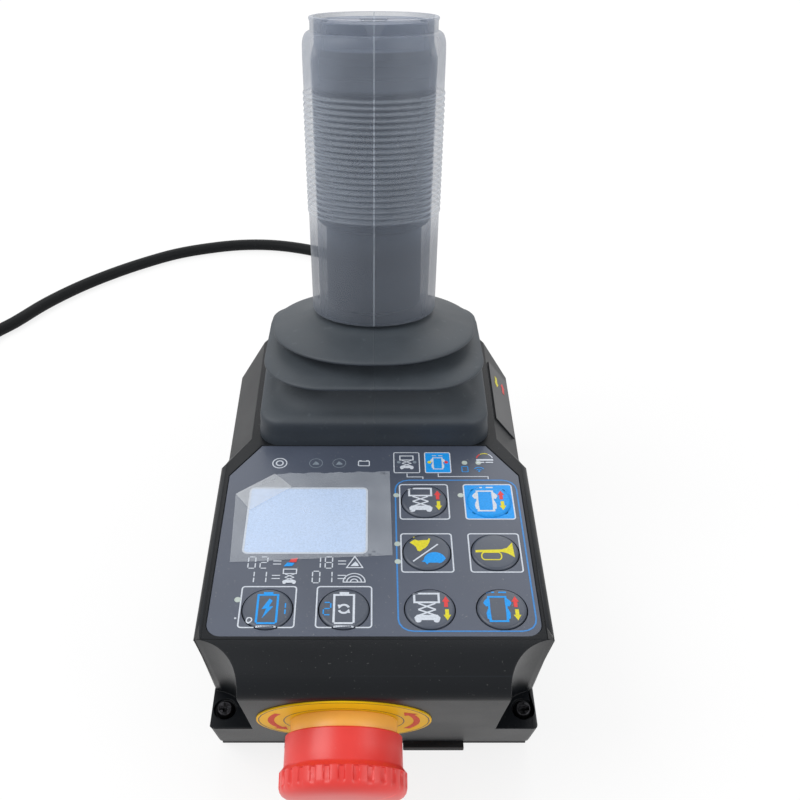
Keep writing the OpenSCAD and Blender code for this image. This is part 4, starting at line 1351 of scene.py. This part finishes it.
@dataclass
class Grip:
    """Joystick grip: clear sleeve, dark core, cap and rocker.

    Attributes:
        low: Outer radius of the sleeve at its foot.
        top: Its radius above the ribs.
        straight: Height up to which it widens.
        length: Height of the grip.
        neck: Radius of the neck under the rim.
        wall: Thickness of the sleeve.
        core_gap: Gap between the sleeve and the core.
        ribs: Number of ribs.
        rib_rise: How far a rib stands out.
        rocker_half: Half of the rocker's width.
        rocker_depth: Its depth.
        cap_radius: Radius of the cap.
        cap_low: Its lower side.
        cap_top: Its upper side.
        opening: Width and depth of its opening.
        body: Body that the pieces ride on.
    """

    low: float = 24.8
    top: float = 26.65
    straight: float = 97.0
    length: float = 112.0
    neck: float = 23.7
    wall: float = 3.0
    core_gap: float = 0.4
    ribs: int = 21
    rib_rise: float = 0.4
    rocker_half: float = 18.0
    rocker_depth: float = 15.0
    cap_radius: float = 22.15
    cap_low: float = 101.05
    cap_top: float = 110.4
    opening: Flat = (39.0, 17.0)
    body: str = "joystick_arm"

    def radius(self, up: float) -> float:
        """Outer radius of the sleeve at a height."""
        return self.low + (self.top - self.low) * min(up, self.straight) / self.straight

    def sleeve(self) -> None:
        """Turns the sleeve with its rounded ribs, shoulder and neck."""
        outline = [(self.low - self.wall, 0.0), (self.low - 0.9, 0.0), (self.low - 0.25, 0.35)]
        outline.append((self.radius(1), 1.1))
        outline += [(self.radius(u), u) for u in (10, 20, 30, RIB_START - 0.4)]
        rib = ((0, 0), (0.15, 0.5), (0.3, 0.9), (0.45, 1), (0.6, 0.9), (0.75, 0.5), (0.9, 0))
        for k in range(self.ribs):
            base = RIB_START + k * RIB_PITCH
            for share, rise in rib:
                up = base + share * RIB_PITCH
                outline.append((self.radius(up) + rise * self.rib_rise, up))
        outline += [(self.radius(u), u) for u in (89, 93, 97, 100.5)]
        inward = self.top - self.neck
        for k in range(1, 10):
            angle = math.radians(10 * k)
            outline.append((self.neck + inward * math.cos(angle) ** 0.8, 101.6 + 5.2 * math.sin(angle)))
        lip = ((0, 107.4), (0, 110.3), (0.25, 110.8), (0.4, 111.3), (0.2, 111.8), (-0.3, self.length))
        inside = ((-1.2, self.length), (-1.5, 111.6), (-1.5, 102.9))
        outline += [(self.neck + out, up) for out, up in lip + inside]
        outline.append((self.top - self.wall, 97.4))
        obj = lathe("clear_sleeve", outline, LEVER, Ends.LOOP, sides=160)
        dress(obj, self.body, Looks.SLEEVE, ["grip_sleeve"])

    def core(self) -> None:
        """Turns the core, with the two joint lines that show through the sleeve."""
        foot = 18.8
        pocket = 20.4
        outline = [(0.0, 3.0), (foot - 0.8, 3.0), (foot, 3.8), (foot, 34.0), (foot + 0.4, 35.2)]
        mid = self.radius(38) - self.wall - self.core_gap
        outline += [(mid - 0.6, 36.4), (mid, 37.2)]
        for up in (87.0, 92.0):
            r = self.radius(up) - self.wall - self.core_gap
            outline += [(r, up - 0.6), (r - 0.9, up - 0.3), (r - 0.9, up + 0.3), (r, up + 0.6)]
        top = self.radius(97) - self.wall - self.core_gap
        outline += [(top, 96.5), (top - 0.8, 97.3), (pocket + 1, 98.5), (pocket + 1, 101.0)]
        outline += [(pocket, 101.0), (pocket, 92.5), (0.0, 92.5)]
        obj = lathe("inner_core", outline, LEVER, Ends.OPEN, sides=128)
        dress(obj, self.body, Looks.CORE, ["grip_core"])

    def prism(self, name: str, outline: Sequence[Flat], depth: float) -> bpy.types.Object:
        """Extrudes an outline across the grip, with its edges rounded.

        Args:
            name: Name of the piece.
            outline: Its points, across and up the grip.
            depth: How deep it is from front to back.

        Returns:
            The object.
        """
        rings = []
        middle = Vector((sum(p[0] for p in outline), sum(p[1] for p in outline))) / len(outline)
        for share, inset in ((-0.5, 0.45), (-0.46, 0.12), (-0.4, 0.0), (0.4, 0.0), (0.46, 0.12), (0.5, 0.45)):
            ring = []
            for x, z in outline:
                inward = (middle - Vector((x, z))).normalized() * inset
                ring.append(tuple(LEVER @ Vector((x + inward.x, share * depth, z + inward.y))))
            rings.append(ring)
        return loft(name, rings, Ends.CLOSED, crease=50)

    def rocker(self) -> None:
        """Makes the two paddles with the notch between them."""
        low = 96.5
        top = 110.5
        notch = 104.0
        half = self.rocker_half
        right = [(half - 0.8, low), (half, low + 1), (half - 0.8, top - 0.7), (half - 1.6, top)]
        right += [(5.5, top), (4.9, top - 0.3), (2.3, notch)]
        outline = [(-half + 0.8, low)] + right + [(-x, z) for x, z in right[:0:-1]]
        obj = self.prism("paddle_rocker", outline, self.rocker_depth)
        dress(obj, "rocker", Looks.ROCKER, ["thumb_rocker"])

    def cap(self) -> None:
        """Makes the cap with its long opening."""
        rings = []
        low, top, outer = self.cap_low, self.cap_top, self.cap_radius
        hole = divided(rounded(*self.opening, radius=1.0, steps=6), longest=1.2)
        for radius, up in ((outer, low), (outer, top - 0.5), (outer - 0.5, top)):
            rings.append([(*polar((0, 0), radius, math.atan2(y, x)), up) for x, y in hole])
        for grow, up in ((0.4, top), (0.0, top - 0.4), (0.0, low)):
            rings.append([(x * (1 + grow / 20), y * (1 + grow / 8), up) for x, y in hole])
        rows = [[tuple(LEVER @ Vector(point)) for point in ring] for ring in rings]
        obj = loft("top_cap", rows, Ends.LOOP, crease=35)
        dress(obj, self.body, Looks.CAP, ["grip_cap"])

    def build(self) -> None:
        """Makes the grip's pieces."""
        self.core()
        self.cap()
        self.rocker()
        self.sleeve()


@dataclass
class EmergencyStop:
    """Head, collar and round label of the emergency stop.

    Attributes:
        grooves: Number of grooves round the head.
        groove_depth: Their depth.
        label_top: Height of the label's face.
    """

    grooves: int = 28
    groove_depth: float = 0.75
    label_top: float = 0.57

    def head(self) -> None:
        """Turns the head, with grooves round its rim."""
        outline = [(18.7, 5.7), (19.5, 5.7), (19.9, 6.1), (20.0, 11.0), (20.1, 15.9), (20.35, 16.5)]
        outline += [(21.1, 17.4), (21.5, 17.9), (21.5, 18.3), (21.5, 20.2), (21.5, 22.1), (21.45, 22.8)]
        outline += [(21.1, 23.9), (20.4, 24.8), (19.3, 25.5), (17.6, 26.1), (15.0, 26.5), (11.0, 26.85)]
        outline += [(6.0, 27.05), (0.0, 27.1)]
        depth_by_row = {8: 0.75, 9: 1.0, 10: 0.9, 11: 0.35}
        step = 2 * math.pi / self.grooves
        half_width = 0.26

        def groove(angle: float, row: int) -> float:
            """Depth of the grooves at an angle.

            Args:
                angle: Angle round the head, in radians.
                row: Number of the point of the outline.

            Returns:
                What is added to the radius.
            """
            away = abs((angle + step / 2) % step - step / 2) / step
            share = clamped((half_width - away) / 0.1)
            return -self.groove_depth * depth_by_row.get(row, 0.0) * share

        inner = [(0.0, 20.0), (7.3, 20.0), (7.3, 16.5), (18.7, 16.5)]
        obj = lathe("mushroom_head", outline + inner, STOP, Ends.LOOP, self.grooves * 12, groove)
        dress(obj, "stop_cap", Looks.RED, ["stop_head"])

    def collar(self) -> None:
        """Turns the collar behind the head."""
        outline = [(11.3, 0.6), (18.1, 0.6), (18.3, 0.9), (18.3, 8.2), (18.0, 8.6), (11.3, 8.6)]
        obj = lathe("round_collar", outline, STOP, Ends.LOOP, sides=128)
        dress(obj, "console", Looks.COLLAR, ["stop_collar"])

    def label(self) -> None:
        """Prints the ring label: thin circles and two turning arrows."""
        cover(frame["nodes"]["stop_label"], [Looks.LABEL])
        sheet = Stencil("stop_label_print", STOP, lambda x, y: self.label_top)
        sheet.arc(Inks.BLACK, (0, 0), radius=29.2, width=0.35)
        sheet.arc(Inks.BLACK, (0, 0), radius=20.6, width=0.35)
        middle = 25.0
        for start in (150, 330):
            sheet.arc(Inks.SIGNAL, (0, 0), middle, width=2.2, start=start, end=start + 56)
            tip = polar((0, 0), middle, math.radians(start + 60))
            sheet.arrow(Inks.SIGNAL, tip, length=5.4, width=5.0, turn=start + 152)
        sheet.print("console")

    def build(self) -> None:
        """Makes the stop's pieces."""
        self.head()
        self.collar()
        self.label()


class Icons(Enum):
    """Pictograms of the keys."""

    LIFT = "lift"
    DRIVE = "drive"
    SPEED = "speed"
    HORN = "horn"
    SAVE = "save"
    CYCLE = "cycle"


@dataclass
class Pictogram:
    """Draws one pictogram on a stencil, about a middle and at a size."""

    sheet: Stencil
    centre: Flat
    size: float = 1.0
    tall: float = 1.38

    def at(self, x: float, y: float) -> Flat:
        """Point of the sheet for a point of the pictogram."""
        return self.centre[0] + x * self.size, self.centre[1] + y * self.size * self.tall

    def run(self, ink: Inks, points: Sequence[Flat], width: float, closed: bool = False) -> None:
        """Draws a line, which may come back to its start."""
        self.sheet.line(ink, [self.at(*p) for p in points], width * self.size, closed, layer=2)

    def fill(self, ink: Inks, points: Sequence[Flat]) -> None:
        """Fills an outline."""
        self.sheet.area(ink, [self.at(*p) for p in points], layer=2)

    def lift(self, ink: Inks) -> None:
        """Platform, crossed arms and wheeled base.

        Args:
            ink: Its ink.
        """
        self.run(ink, [(-4.1, 1.7), (4.1, 1.7), (4.1, 4.4), (-4.1, 4.4)], width=0.75, closed=True)
        for s in (-1, 1):
            self.run(ink, [(-2.9 * s, 1.4), (2.9 * s, -0.5)], width=0.6)
            self.run(ink, [(-2.9 * s, -0.5), (2.9 * s, -2.3)], width=0.6)
        self.fill(ink, [(-4.1, -3.7), (4.1, -3.7), (4.3, -2.9), (3.4, -2.1), (-3.4, -2.1), (-4.3, -2.9)])
        for x in (-3.0, 3.0):
            self.sheet.disc(ink, self.at(x, -3.8), 1.0 * self.size, 0.85 * self.size, layer=2)

    def drive(self, ink: Inks) -> None:
        """Chassis seen from above, with its wheels and two bars ahead of it.

        Args:
            ink: Its ink.
        """
        front = ((2.5, 0.8), (3.9, 0.4), (4.7, 1.5), (4.3, 2.2), (3.2, 3.0), (2.5, 2.6))
        rear = ((2.4, -3.8), (3.8, -3.2), (4.0, -1.6), (3.4, -0.3), (2.6, -0.8))
        self.run(ink, [(-2.9, -4.0), (2.9, -4.0), (2.9, 3.4), (-2.9, 3.4)], width=0.7, closed=True)
        for s in (-1, 1):
            self.fill(ink, [(s * x, y) for x, y in front])
            self.fill(ink, [(s * x, y) for x, y in rear])
            self.run(ink, [(s * 0.7, 4.8), (s * 3.3, 4.8)], width=0.6)

    def pair(self, gap: float) -> None:
        """Red arrow up and yellow arrow down.

        Args:
            gap: How far to the right they stand.
        """
        length = 4.6 * self.size
        self.sheet.arrow(Inks.RED, self.at(gap, 1.9), length, length / 2, turn=90, layer=3)
        self.sheet.arrow(Inks.YELLOW, self.at(gap + 0.2, -2.1), length, length / 2, turn=270, layer=3)

    def speed(self) -> None:
        """Hare above a slash and tortoise below it."""
        hare = [(-6.0, 2.7), (-4.9, 3.3), (-4.6, 4.9), (-3.9, 4.7), (-3.9, 3.6), (-2.9, 3.3), (-1.2, 3.5)]
        hare += [(0.4, 3.5), (0.9, 4.1), (1.4, 3.9), (1.0, 2.7), (0.3, 1.7), (-0.5, 1.0), (-1.4, 0.6)]
        hare += [(-2.4, -0.1), (-3.3, 0.1), (-3.8, 1.3), (-4.9, 2.1)]
        self.fill(Inks.YELLOW, hare)
        self.run(Inks.WHITE, [(-5.0, -3.2), (4.0, 2.2)], width=0.55)
        sides = 12
        angles = [math.pi * k / sides for k in range(sides + 1)]
        shell = [(3.0 - 3.9 * math.cos(a), -2.9 + 2.6 * math.sin(a)) for a in angles]
        feet = [(5.6, -3.3), (5.0, -4.2), (4.2, -3.6), (0.9, -3.6), (0.2, -4.2), (-0.4, -3.4), (-1.8, -3.2)]
        self.fill(Inks.BLUE, [(x - 0.4, y) for x, y in shell + feet])

    def horn(self) -> None:
        """Trumpet with its bell to the right and a ring below."""
        above = [(-6.2, 0.3), (2.0, 0.5), (3.8, 1.0), (5.6, 2.6)]
        below = [(5.9, -1.9), (3.8, -0.7), (2.0, -0.3), (-6.2, -0.4)]
        self.fill(Inks.YELLOW, above + below)
        ring = [(x - 1.3, y - 1.5) for x, y in rounded(6.2, 2.2, radius=1.0, steps=5)]
        self.run(Inks.YELLOW, ring, width=0.4, closed=True)

    def battery(self, ink: Inks) -> None:
        """Outline of a battery."""
        self.run(ink, [(-3.3, -4.6), (3.3, -4.6), (3.3, 4.0), (-3.3, 4.0)], width=0.75, closed=True)
        self.fill(ink, [(-1.6, 4.2), (1.6, 4.2), (1.6, 4.9), (-1.6, 4.9)])

    def save(self) -> None:
        """Battery with a bolt, and a plain digit beside it."""
        self.battery(Inks.BLUE)
        bolt = [(0.5, 2.9), (-1.9, -0.4), (-0.3, -0.2), (-1.5, -3.2), (2.0, 0.5), (0.5, 0.4), (1.6, 2.2)]
        self.fill(Inks.BLUE, bolt)
        self.sheet.digit(Inks.BLUE, 1, self.at(4.9, -0.2), (2.2, 5.2), width=0.45)
        self.sheet.arc(Inks.WHITE, self.at(-5.6, -3.6), radius=0.9, width=0.45, layer=2)

    def cycle(self) -> None:
        """Battery with two turning arrows, and a plain digit beside it."""
        self.battery(Inks.WHITE)
        middle = self.at(0, -0.3)
        radius = 1.7
        for start in (20, 200):
            self.sheet.arc(Inks.WHITE, middle, radius, width=0.8, start=start, end=start + 120, layer=2)
            tip = polar(middle, radius, math.radians(start + 130))
            self.sheet.arrow(Inks.WHITE, tip, length=1.7, width=1.6, turn=start + 235, layer=3)
        self.sheet.digit(Inks.BLUE, 2, self.at(-5.6, -0.2), (2.4, 5.2), width=0.45)


@dataclass
class Key:
    """Round key with its pictogram.

    Attributes:
        name: Name of its node.
        centre: Its middle, from the panel's front edge.
        icon: Its pictogram.
        ink: Colour of the pictogram.
        filled: Whether the key is blue all over.
        radius: Radius of its rim.
        flat: Radius of the flat middle of its face.
        face: Height of that middle.
        drop: How far the face falls towards the rim.
        shift: How far the pictogram is moved to the right.
    """

    name: str
    centre: Flat
    icon: Icons
    ink: Inks = Inks.WHITE
    filled: bool = False
    radius: float = 8.3
    flat: float = 7.3
    face: float = 80.5
    drop: float = 0.6
    shift: float = 0.0

    def rise(self, x: float, y: float) -> float:
        """Height of the key's face at a point."""
        return self.height(math.hypot(x - self.centre[0], y - self.centre[1]))

    def height(self, radius: float) -> float:
        """Height of the key's face at a distance from its middle."""
        share = clamped((radius - self.flat) / (self.radius - self.flat))
        return self.face - self.drop * share * share

    def dome(self) -> None:
        """Turns the key's face."""
        place = Matrix.Translation((self.centre[0], self.centre[1] + FRONT_Y, 0))
        foot = FILM_Z - 0.5
        rows = [(r, self.height(r)) for r in (0.0, 3.0, self.flat, 7.5, 7.7, 7.9, 8.1, 8.22)]
        rows += [(self.radius, FILM_Z), (self.radius, foot), (0.0, foot)]
        obj = lathe(self.name + "_face", rows, place, Ends.OPEN, sides=96)
        look = Inks.BLUE if self.filled else Looks.KEY
        dress(obj, self.name + "_cap", look, [self.name])

    def build(self) -> None:
        """Makes the key and its print."""
        self.dome()
        sheet = Stencil(self.name + "_print", FRONT_EDGE, self.rise)
        mark = Pictogram(sheet, (self.centre[0] + self.shift, self.centre[1]))
        if self.icon is Icons.LIFT:
            mark.lift(self.ink)
            mark.pair(gap=6.4)
        elif self.icon is Icons.DRIVE:
            mark.drive(self.ink)
            mark.pair(gap=6.0)
        elif self.icon is Icons.SPEED:
            mark.tall = 1.5
            mark.speed()
        elif self.icon is Icons.HORN:
            mark.size = 1.12
            mark.horn()
        elif self.icon is Icons.SAVE:
            mark.save()
        else:
            mark.cycle()
        if self.icon in (Icons.SAVE, Icons.CYCLE):
            low = self.centre[1] - 7.5
            sheet.line(Inks.WHITE, [(self.centre[0] - 3.3, low), (self.centre[0] + 3.3, low)], width=0.5)
        sheet.print(self.name + "_cap")


@dataclass
class Panel:
    """Control panel: prints, display, its protective sheet and the keys.

    Places are measured from the middle of the panel's front edge.

    Attributes:
        top: Height of the prints.
        left: Left side of the blue frame round six keys.
        right: Its right side.
        near: Its front side.
        far: Its back side.
        columns: Middles of the two columns of keys inside it.
        rows: Middles of the three rows of keys, from the back.
        battery_columns: Middles of the two battery keys.
        battery_row: Middle of their frames.
        square: Side of the white frames.
        key_hole: Radius that the blue square leaves free round its key.
        sign_row: Row of the small signs behind the keys.
        code_rows: Rows of the numbers.
        code_columns: Where the first digits stand.
        fold: Corners of the folded part of the loose sheet.
    """

    top: float = FILM_Z + 0.02
    left: float = 8.0
    right: float = 53.5
    near: float = 3.6
    far: float = 74.6
    columns: Flat = (18.6, 42.6)
    rows: Point = (63.2, 37.9, 12.6)
    battery_columns: Flat = (-35.5, -10.0)
    battery_row: float = 13.75
    square: float = 18.0
    key_hole: float = 8.7
    sign_row: float = 84.1
    code_rows: Flat = (33.2, 26.6)
    code_columns: Flat = (-42.5, -19.9)
    fold: tuple[Flat, ...] = ((-51.6, 66.9), (-37.8, 77.9), (-30.9, 70.6), (-45.6, 58.5))

    def keys(self) -> list[Key]:
        """The eight keys.

        Returns:
            The keys, in the order in which they are made.
        """
        left, right = self.columns
        top, middle, bottom = self.rows
        save, cycle = self.battery_columns
        return [
            Key("lift_key", (left, top), Icons.LIFT, shift=-1.4),
            Key("drive_key", (right, top), Icons.DRIVE, filled=True, shift=-1.4),
            Key("speed_key", (left, middle), Icons.SPEED),
            Key("horn_key", (right, middle), Icons.HORN),
            Key("lift_mode_key", (left, bottom), Icons.LIFT, shift=-1.0),
            Key("drive_mode_key", (right, bottom), Icons.DRIVE, Inks.BLUE, shift=-1.4),
            Key("battery_save_key", (save, bottom), Icons.SAVE),
            Key("battery_cycle_key", (cycle, bottom), Icons.CYCLE),
        ]

    def frames(self, sheet: Stencil) -> None:
        """Prints the frames round the keys and the lines that lead to them.

        Args:
            sheet: The stencil to draw on.
        """
        middle = ((self.left + self.right) / 2, (self.near + self.far) / 2)
        size = (self.right - self.left, self.far - self.near)
        sheet.box(Inks.LINE, middle, size, width=0.55, radius=5.0)
        self.blue_square(sheet)
        for row in self.rows[:2]:
            for column in self.columns:
                sheet.box(Inks.WHITE, (column, row), (self.square, self.square), width=0.5, radius=1.0)
        for column in self.battery_columns:
            points = [(column + x, self.battery_row + y) for x, y in self.broken_frame()]
            sheet.line(Inks.WHITE, points, width=0.5)
        for start, bend, end in ((12.6, 76.4, 18.6), (24.5, 76.6, 43.4)):
            points = [(start, 78.3), (start, bend), (end, bend), (end, 75.2)]
            sheet.line(Inks.WHITE, points, width=0.35)

    def blue_square(self, sheet: Stencil) -> None:
        """Prints the blue square round the drive key, open where the key moves.

        Args:
            sheet: The stencil to draw on.
        """
        centre = (self.columns[1], self.rows[0])
        square = rounded(self.square, self.square, radius=1.0, steps=4)
        outer = [(centre[0] + x, centre[1] + y) for x, y in square]
        hole = [polar(centre, self.key_hole, math.atan2(y, x)) for x, y in square]
        count = len(square)
        faces = [(i, (i + 1) % count, count + (i + 1) % count, count + i) for i in range(count)]
        sheet.shapes.append((Inks.BLUE, outer + hole, faces, 0))

    def broken_frame(self) -> list[Flat]:
        """Frame of a battery key, open at the bottom where the key carries it on.

        Returns:
            Its points, about the middle of the frame.
        """
        half_gap = 3.7
        outline = divided(rounded(18.4, 17.3, radius=1.0, steps=4), longest=0.7)
        shown = [y > 0 or abs(x) > half_gap for x, y in outline]
        start = next(i for i in range(len(outline)) if shown[i] and not shown[i - 1])
        return [outline[(start + i) % len(outline)] for i in range(sum(shown))]

    def top_row(self, sheet: Stencil) -> None:
        """Prints the small signs behind the keys.

        Args:
            sheet: The stencil to draw on.
        """
        row = self.sign_row
        sheet.arc(Inks.WHITE, (-36.4, row), radius=2.7, width=0.45)
        sheet.arc(Inks.WHITE, (-36.4, row), radius=1.3, width=0.55)
        for x in (-22.4, -13.4):
            sheet.arc(Inks.PALE, (x, row), radius=2.5, width=0.25)
            sign = ((-1.4, -0.9), (1.2, -0.9), (1.2, -0.2), (-0.2, 1.1))
            sheet.area(Inks.PALE, [(x + a, row + b) for a, b in sign])
        sheet.box(Inks.WHITE, (-3.9, row - 0.2), (4.2, 2.6), width=0.4)
        for x in (-5.3, -2.5):
            sheet.box(Inks.WHITE, (x, row + 1.3), (1.1, 0.6), radius=0.1)
        lift, drive, size = (12.6, 84.4), (24.6, 84.4), (9.8, 11.4)
        sheet.box(Inks.WHITE, lift, size, width=0.4, radius=0.6)
        sheet.box(Inks.BLUE, drive, size, radius=0.6, layer=0)
        sheet.box(Inks.WHITE, drive, size, width=0.4, radius=0.6)
        Pictogram(sheet, lift, size=0.62).lift(Inks.WHITE)
        Pictogram(sheet, (24.6, 84.2), size=0.62).drive(Inks.WHITE)
        for x, look in ((9.6, Inks.PALE), (15.7, Inks.PALE), (21.4, Inks.YELLOW), (27.9, Inks.RED)):
            sheet.disc(look, (x, 84.6), wide=0.75)
        sheet.box(Inks.BLUE, (34.9, 80.7), (2.3, 3.0), width=0.3)
        for k in (1, 2):
            sheet.arc(Inks.BLUE, (40.3, 79.5), 1.1 * k, width=0.35, start=35, end=145)
        sheet.disc(Inks.BLUE, (40.3, 79.6), wide=0.4)

    def gauge(self, sheet: Stencil) -> None:
        """Prints the small arc scale at the far right.

        Args:
            sheet: The stencil to draw on.
        """
        x, y = 42.9, 86.4
        for ink, start, end in ((Inks.WHITE, 10, 60), (Inks.YELLOW, 63, 120), (Inks.RED, 123, 170)):
            sheet.arc(ink, (x, y), radius=3.1, width=0.4, start=start, end=end)
        sheet.box(Inks.WHITE, (x, y - 0.5), (6.6, 0.9), radius=0.2)
        for side in (-1.7, 1.7):
            sheet.box(Inks.WHITE, (x + side, y - 1.9), (2.9, 0.6), radius=0.1)

    def codes(self, sheet: Stencil) -> None:
        """Prints the rows of plain numbers with their signs.

        Args:
            sheet: The stencil to draw on.
        """
        width = 0.42
        spots = [(x, row) for row in self.code_rows for x in self.code_columns]
        for number, (x, row) in zip(("02", "18", "11", "01"), spots):
            for k, digit in enumerate(number):
                sheet.digit(Inks.WHITE, int(digit), (x + 4.2 * k, row), (2.5, 5.2), width)
            for rise in (-0.7, 0.7):
                sheet.line(Inks.WHITE, [(x + 7.4, row + rise), (x + 10.2, row + rise)], width)
        row = self.code_rows[0]
        sheet.area(Inks.BLUE, [(-31.4, row - 1.8), (-28.4, row - 1.6), (-27.6, row - 0.2), (-30.2, row)])
        red = [(-29.6, row + 0.2), (-27.1, row + 0.1), (-26.6, row + 2.2), (-29.0, row + 1.7)]
        sheet.area(Inks.RED, red, layer=2)
        sheet.line(Inks.WHITE, [(-9.5, row - 2.4), (-3.9, row - 2.4), (-6.7, row + 2.8)], width, True)
        sheet.area(Inks.WHITE, [(-8.2, row - 1.7), (-5.2, row - 1.7), (-5.6, row - 0.6), (-6.5, row + 0.5)])
        row = self.code_rows[1]
        Pictogram(sheet, (-29.0, row + 0.2), size=0.55).lift(Inks.WHITE)
        for k in (1, 2, 3):
            sheet.arc(Inks.WHITE, (-6.8, row - 2.2), 1.25 * k, width, start=0, end=180)
        sheet.line(Inks.WHITE, [(-10.7, row - 2.3), (-2.9, row - 2.3)], width)

    def prints(self) -> None:
        """Prints the whole panel."""
        sheet = Stencil("panel_print", FRONT_EDGE, lambda x, y: self.top)
        self.frames(sheet)
        self.top_row(sheet)
        self.gauge(sheet)
        self.codes(sheet)
        sheet.disc(Inks.WHITE, (-45.8, 8.8), wide=0.4)
        sheet.print("console")

    def display(self) -> None:
        """Gives the display a painted glow and prints its white inner edge."""
        cover(frame["nodes"]["display_window"], [Looks.SCREEN])
        sheet = Stencil("display_edge_print", FRONT_EDGE, lambda x, y: self.top)
        sheet.box(Inks.WHITE, (-24.4, 54), (43.6, 32.6), width=0.7, radius=1.6)
        sheet.print("console")

    def sheet_height(self, x: float, y: float) -> float:
        """Height of the loose sheet over the panel."""
        wave = 0.07 * math.sin(x * 0.31 + y * 0.12) + 0.05 * math.sin(y * 0.43 - x * 0.2)
        return 79.98 + wave

    def sheet_point(self, share: float, rise: float) -> Point:
        """Point of the loose sheet, by its shares from left to right and from front to back.

        Args:
            share: Share of the way from its left edge to its right edge.
            rise: Share of the way from its front edge to its back edge, which has a cut corner.

        Returns:
            The point.
        """
        foot = (-50.2 + 56.7 * share, 33.2 + 3.3 * share)
        x = -51.6 + 57.6 * share
        y = 66.9 + 11.0 * (x + 51.6) / 13.8 if x < -37.8 else 77.9 + 1.3 * (x + 37.8) / 43.8
        ragged = 0.25 * math.sin(share * 41) + 0.15 * math.sin(share * 97)
        px = foot[0] + (x - foot[0]) * rise
        py = foot[1] + (y + ragged - foot[1]) * rise + FRONT_Y
        return px, py, self.sheet_height(px, py)

    def fold_point(self, along: float, away: float) -> Point:
        """Point of the folded corner, by its shares along the fold and away from it.

        Args:
            along: Share of the way along the fold.
            away: Share of the way from the fold.

        Returns:
            The point.
        """
        first, second, third, fourth = (Vector(corner) for corner in self.fold)
        spot = first.lerp(second, along).lerp(fourth.lerp(third, along), away)
        px, py = spot.x, spot.y + FRONT_Y
        rise = 0.12 + 0.21 * math.sin(away * math.pi) + 0.1 * away
        return px, py, self.sheet_height(px, py) + rise

    def protection(self) -> None:
        """Lays the loose sheet over the display, with one corner folded over."""
        sheet = grid("display_sheet", columns=56, rows=36, place=self.sheet_point)
        dress(sheet, "console", Looks.SHEET, ["screen_film"])
        flap = grid("display_sheet_fold", columns=12, rows=12, place=self.fold_point)
        dress(flap, "console", Looks.FLAP)

    def build(self) -> None:
        """Makes the panel and its keys."""
        self.prints()
        self.display()
        self.protection()
        for key in self.keys():
            key.build()


@dataclass
class Box:
    """Housing, base plate, screws, side label and everything inside.

    Attributes:
        shoulder_middle: Middle of the right shoulder's slope.
        shoulder_drop: How far the slope falls.
        shoulder_width: How wide it is.
        label_top: Height of the label's face over the slope.
        inside: Nodes that keep their shape, by finish.
    """

    shoulder_middle: Point = (53.75, 31.0, 73.0)
    shoulder_drop: float = 14.0
    shoulder_width: float = 10.5
    label_top: float = 0.6
    inside: tuple[tuple[Looks, tuple[str, ...]], ...] = (
        (Looks.SEAL, ("base_gasket",)),
        (Looks.OVERLAY, ("panel_overlay",)),
        (Looks.LENS, ("indicator_lenses",)),
        (Looks.BLACK_LABEL, ("shoulder_label",)),
        (Looks.BOARD, ("circuit_board",)),
        (Looks.ZINC, ("board_screws", "frame_screws")),
        (Looks.ELECTRIC, ("display_module", "key_switches", "stop_barrel", "stop_nut", "stop_contacts")),
        (Looks.ELECTRIC, ("boot_frame", "joystick_base", "angle_sensor", "gland_nut")),
        (Looks.RED, ("stop_stem",)),
        (Looks.BRASS, ("pivot_bushes", "connector_pins")),
        (Looks.STEEL, ("pivot_shaft", "lever", "centring_springs", "rocker_pin")),
    )

    def nodes(self) -> None:
        """Gives the nodes that stay as they are their finishes."""
        for look, names in self.inside:
            for name in names:
                cover(frame["nodes"][name], [look])
                log.info("%s dressed", name)

    def side_label(self) -> None:
        """Prints the two arrows of the label on the right shoulder."""
        place = (
            Matrix.Translation(self.shoulder_middle)
            @ Matrix.Rotation(math.atan(self.shoulder_drop / self.shoulder_width), 4, "Y")
            @ Matrix.Rotation(math.radians(-90), 4, "Z")
        )
        sheet = Stencil("side_label_print", place, lambda x, y: self.label_top)
        sheet.arrow(Inks.RED, (-9.5, 2.6), length=7.0, width=3.0, turn=180)
        sheet.arrow(Inks.YELLOW, (-9.0, -2.6), length=7.0, width=3.0, turn=0)
        sheet.print("console")

    def build(self) -> None:
        """Makes the box."""
        soften("upper_housing", width=0.35, looks=Looks.HOUSING, outer=2.0)
        soften("base_plate", width=0.4, looks=Looks.PLATE)
        soften("corner_screws", width=0.2, looks=Looks.DARK_STEEL)
        self.nodes()
        self.side_label()


def main() -> None:
    """Builds the looks in order."""
    logging.basicConfig(level=logging.INFO, format="%(name)s: %(message)s")
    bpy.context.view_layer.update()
    studio = Studio()
    studio.camera()
    Cord().build()
    Box().build()
    Boot().build()
    Grip().build()
    EmergencyStop().build()
    Panel().build()
    studio.build()


if __name__ == "__main__":
    main()
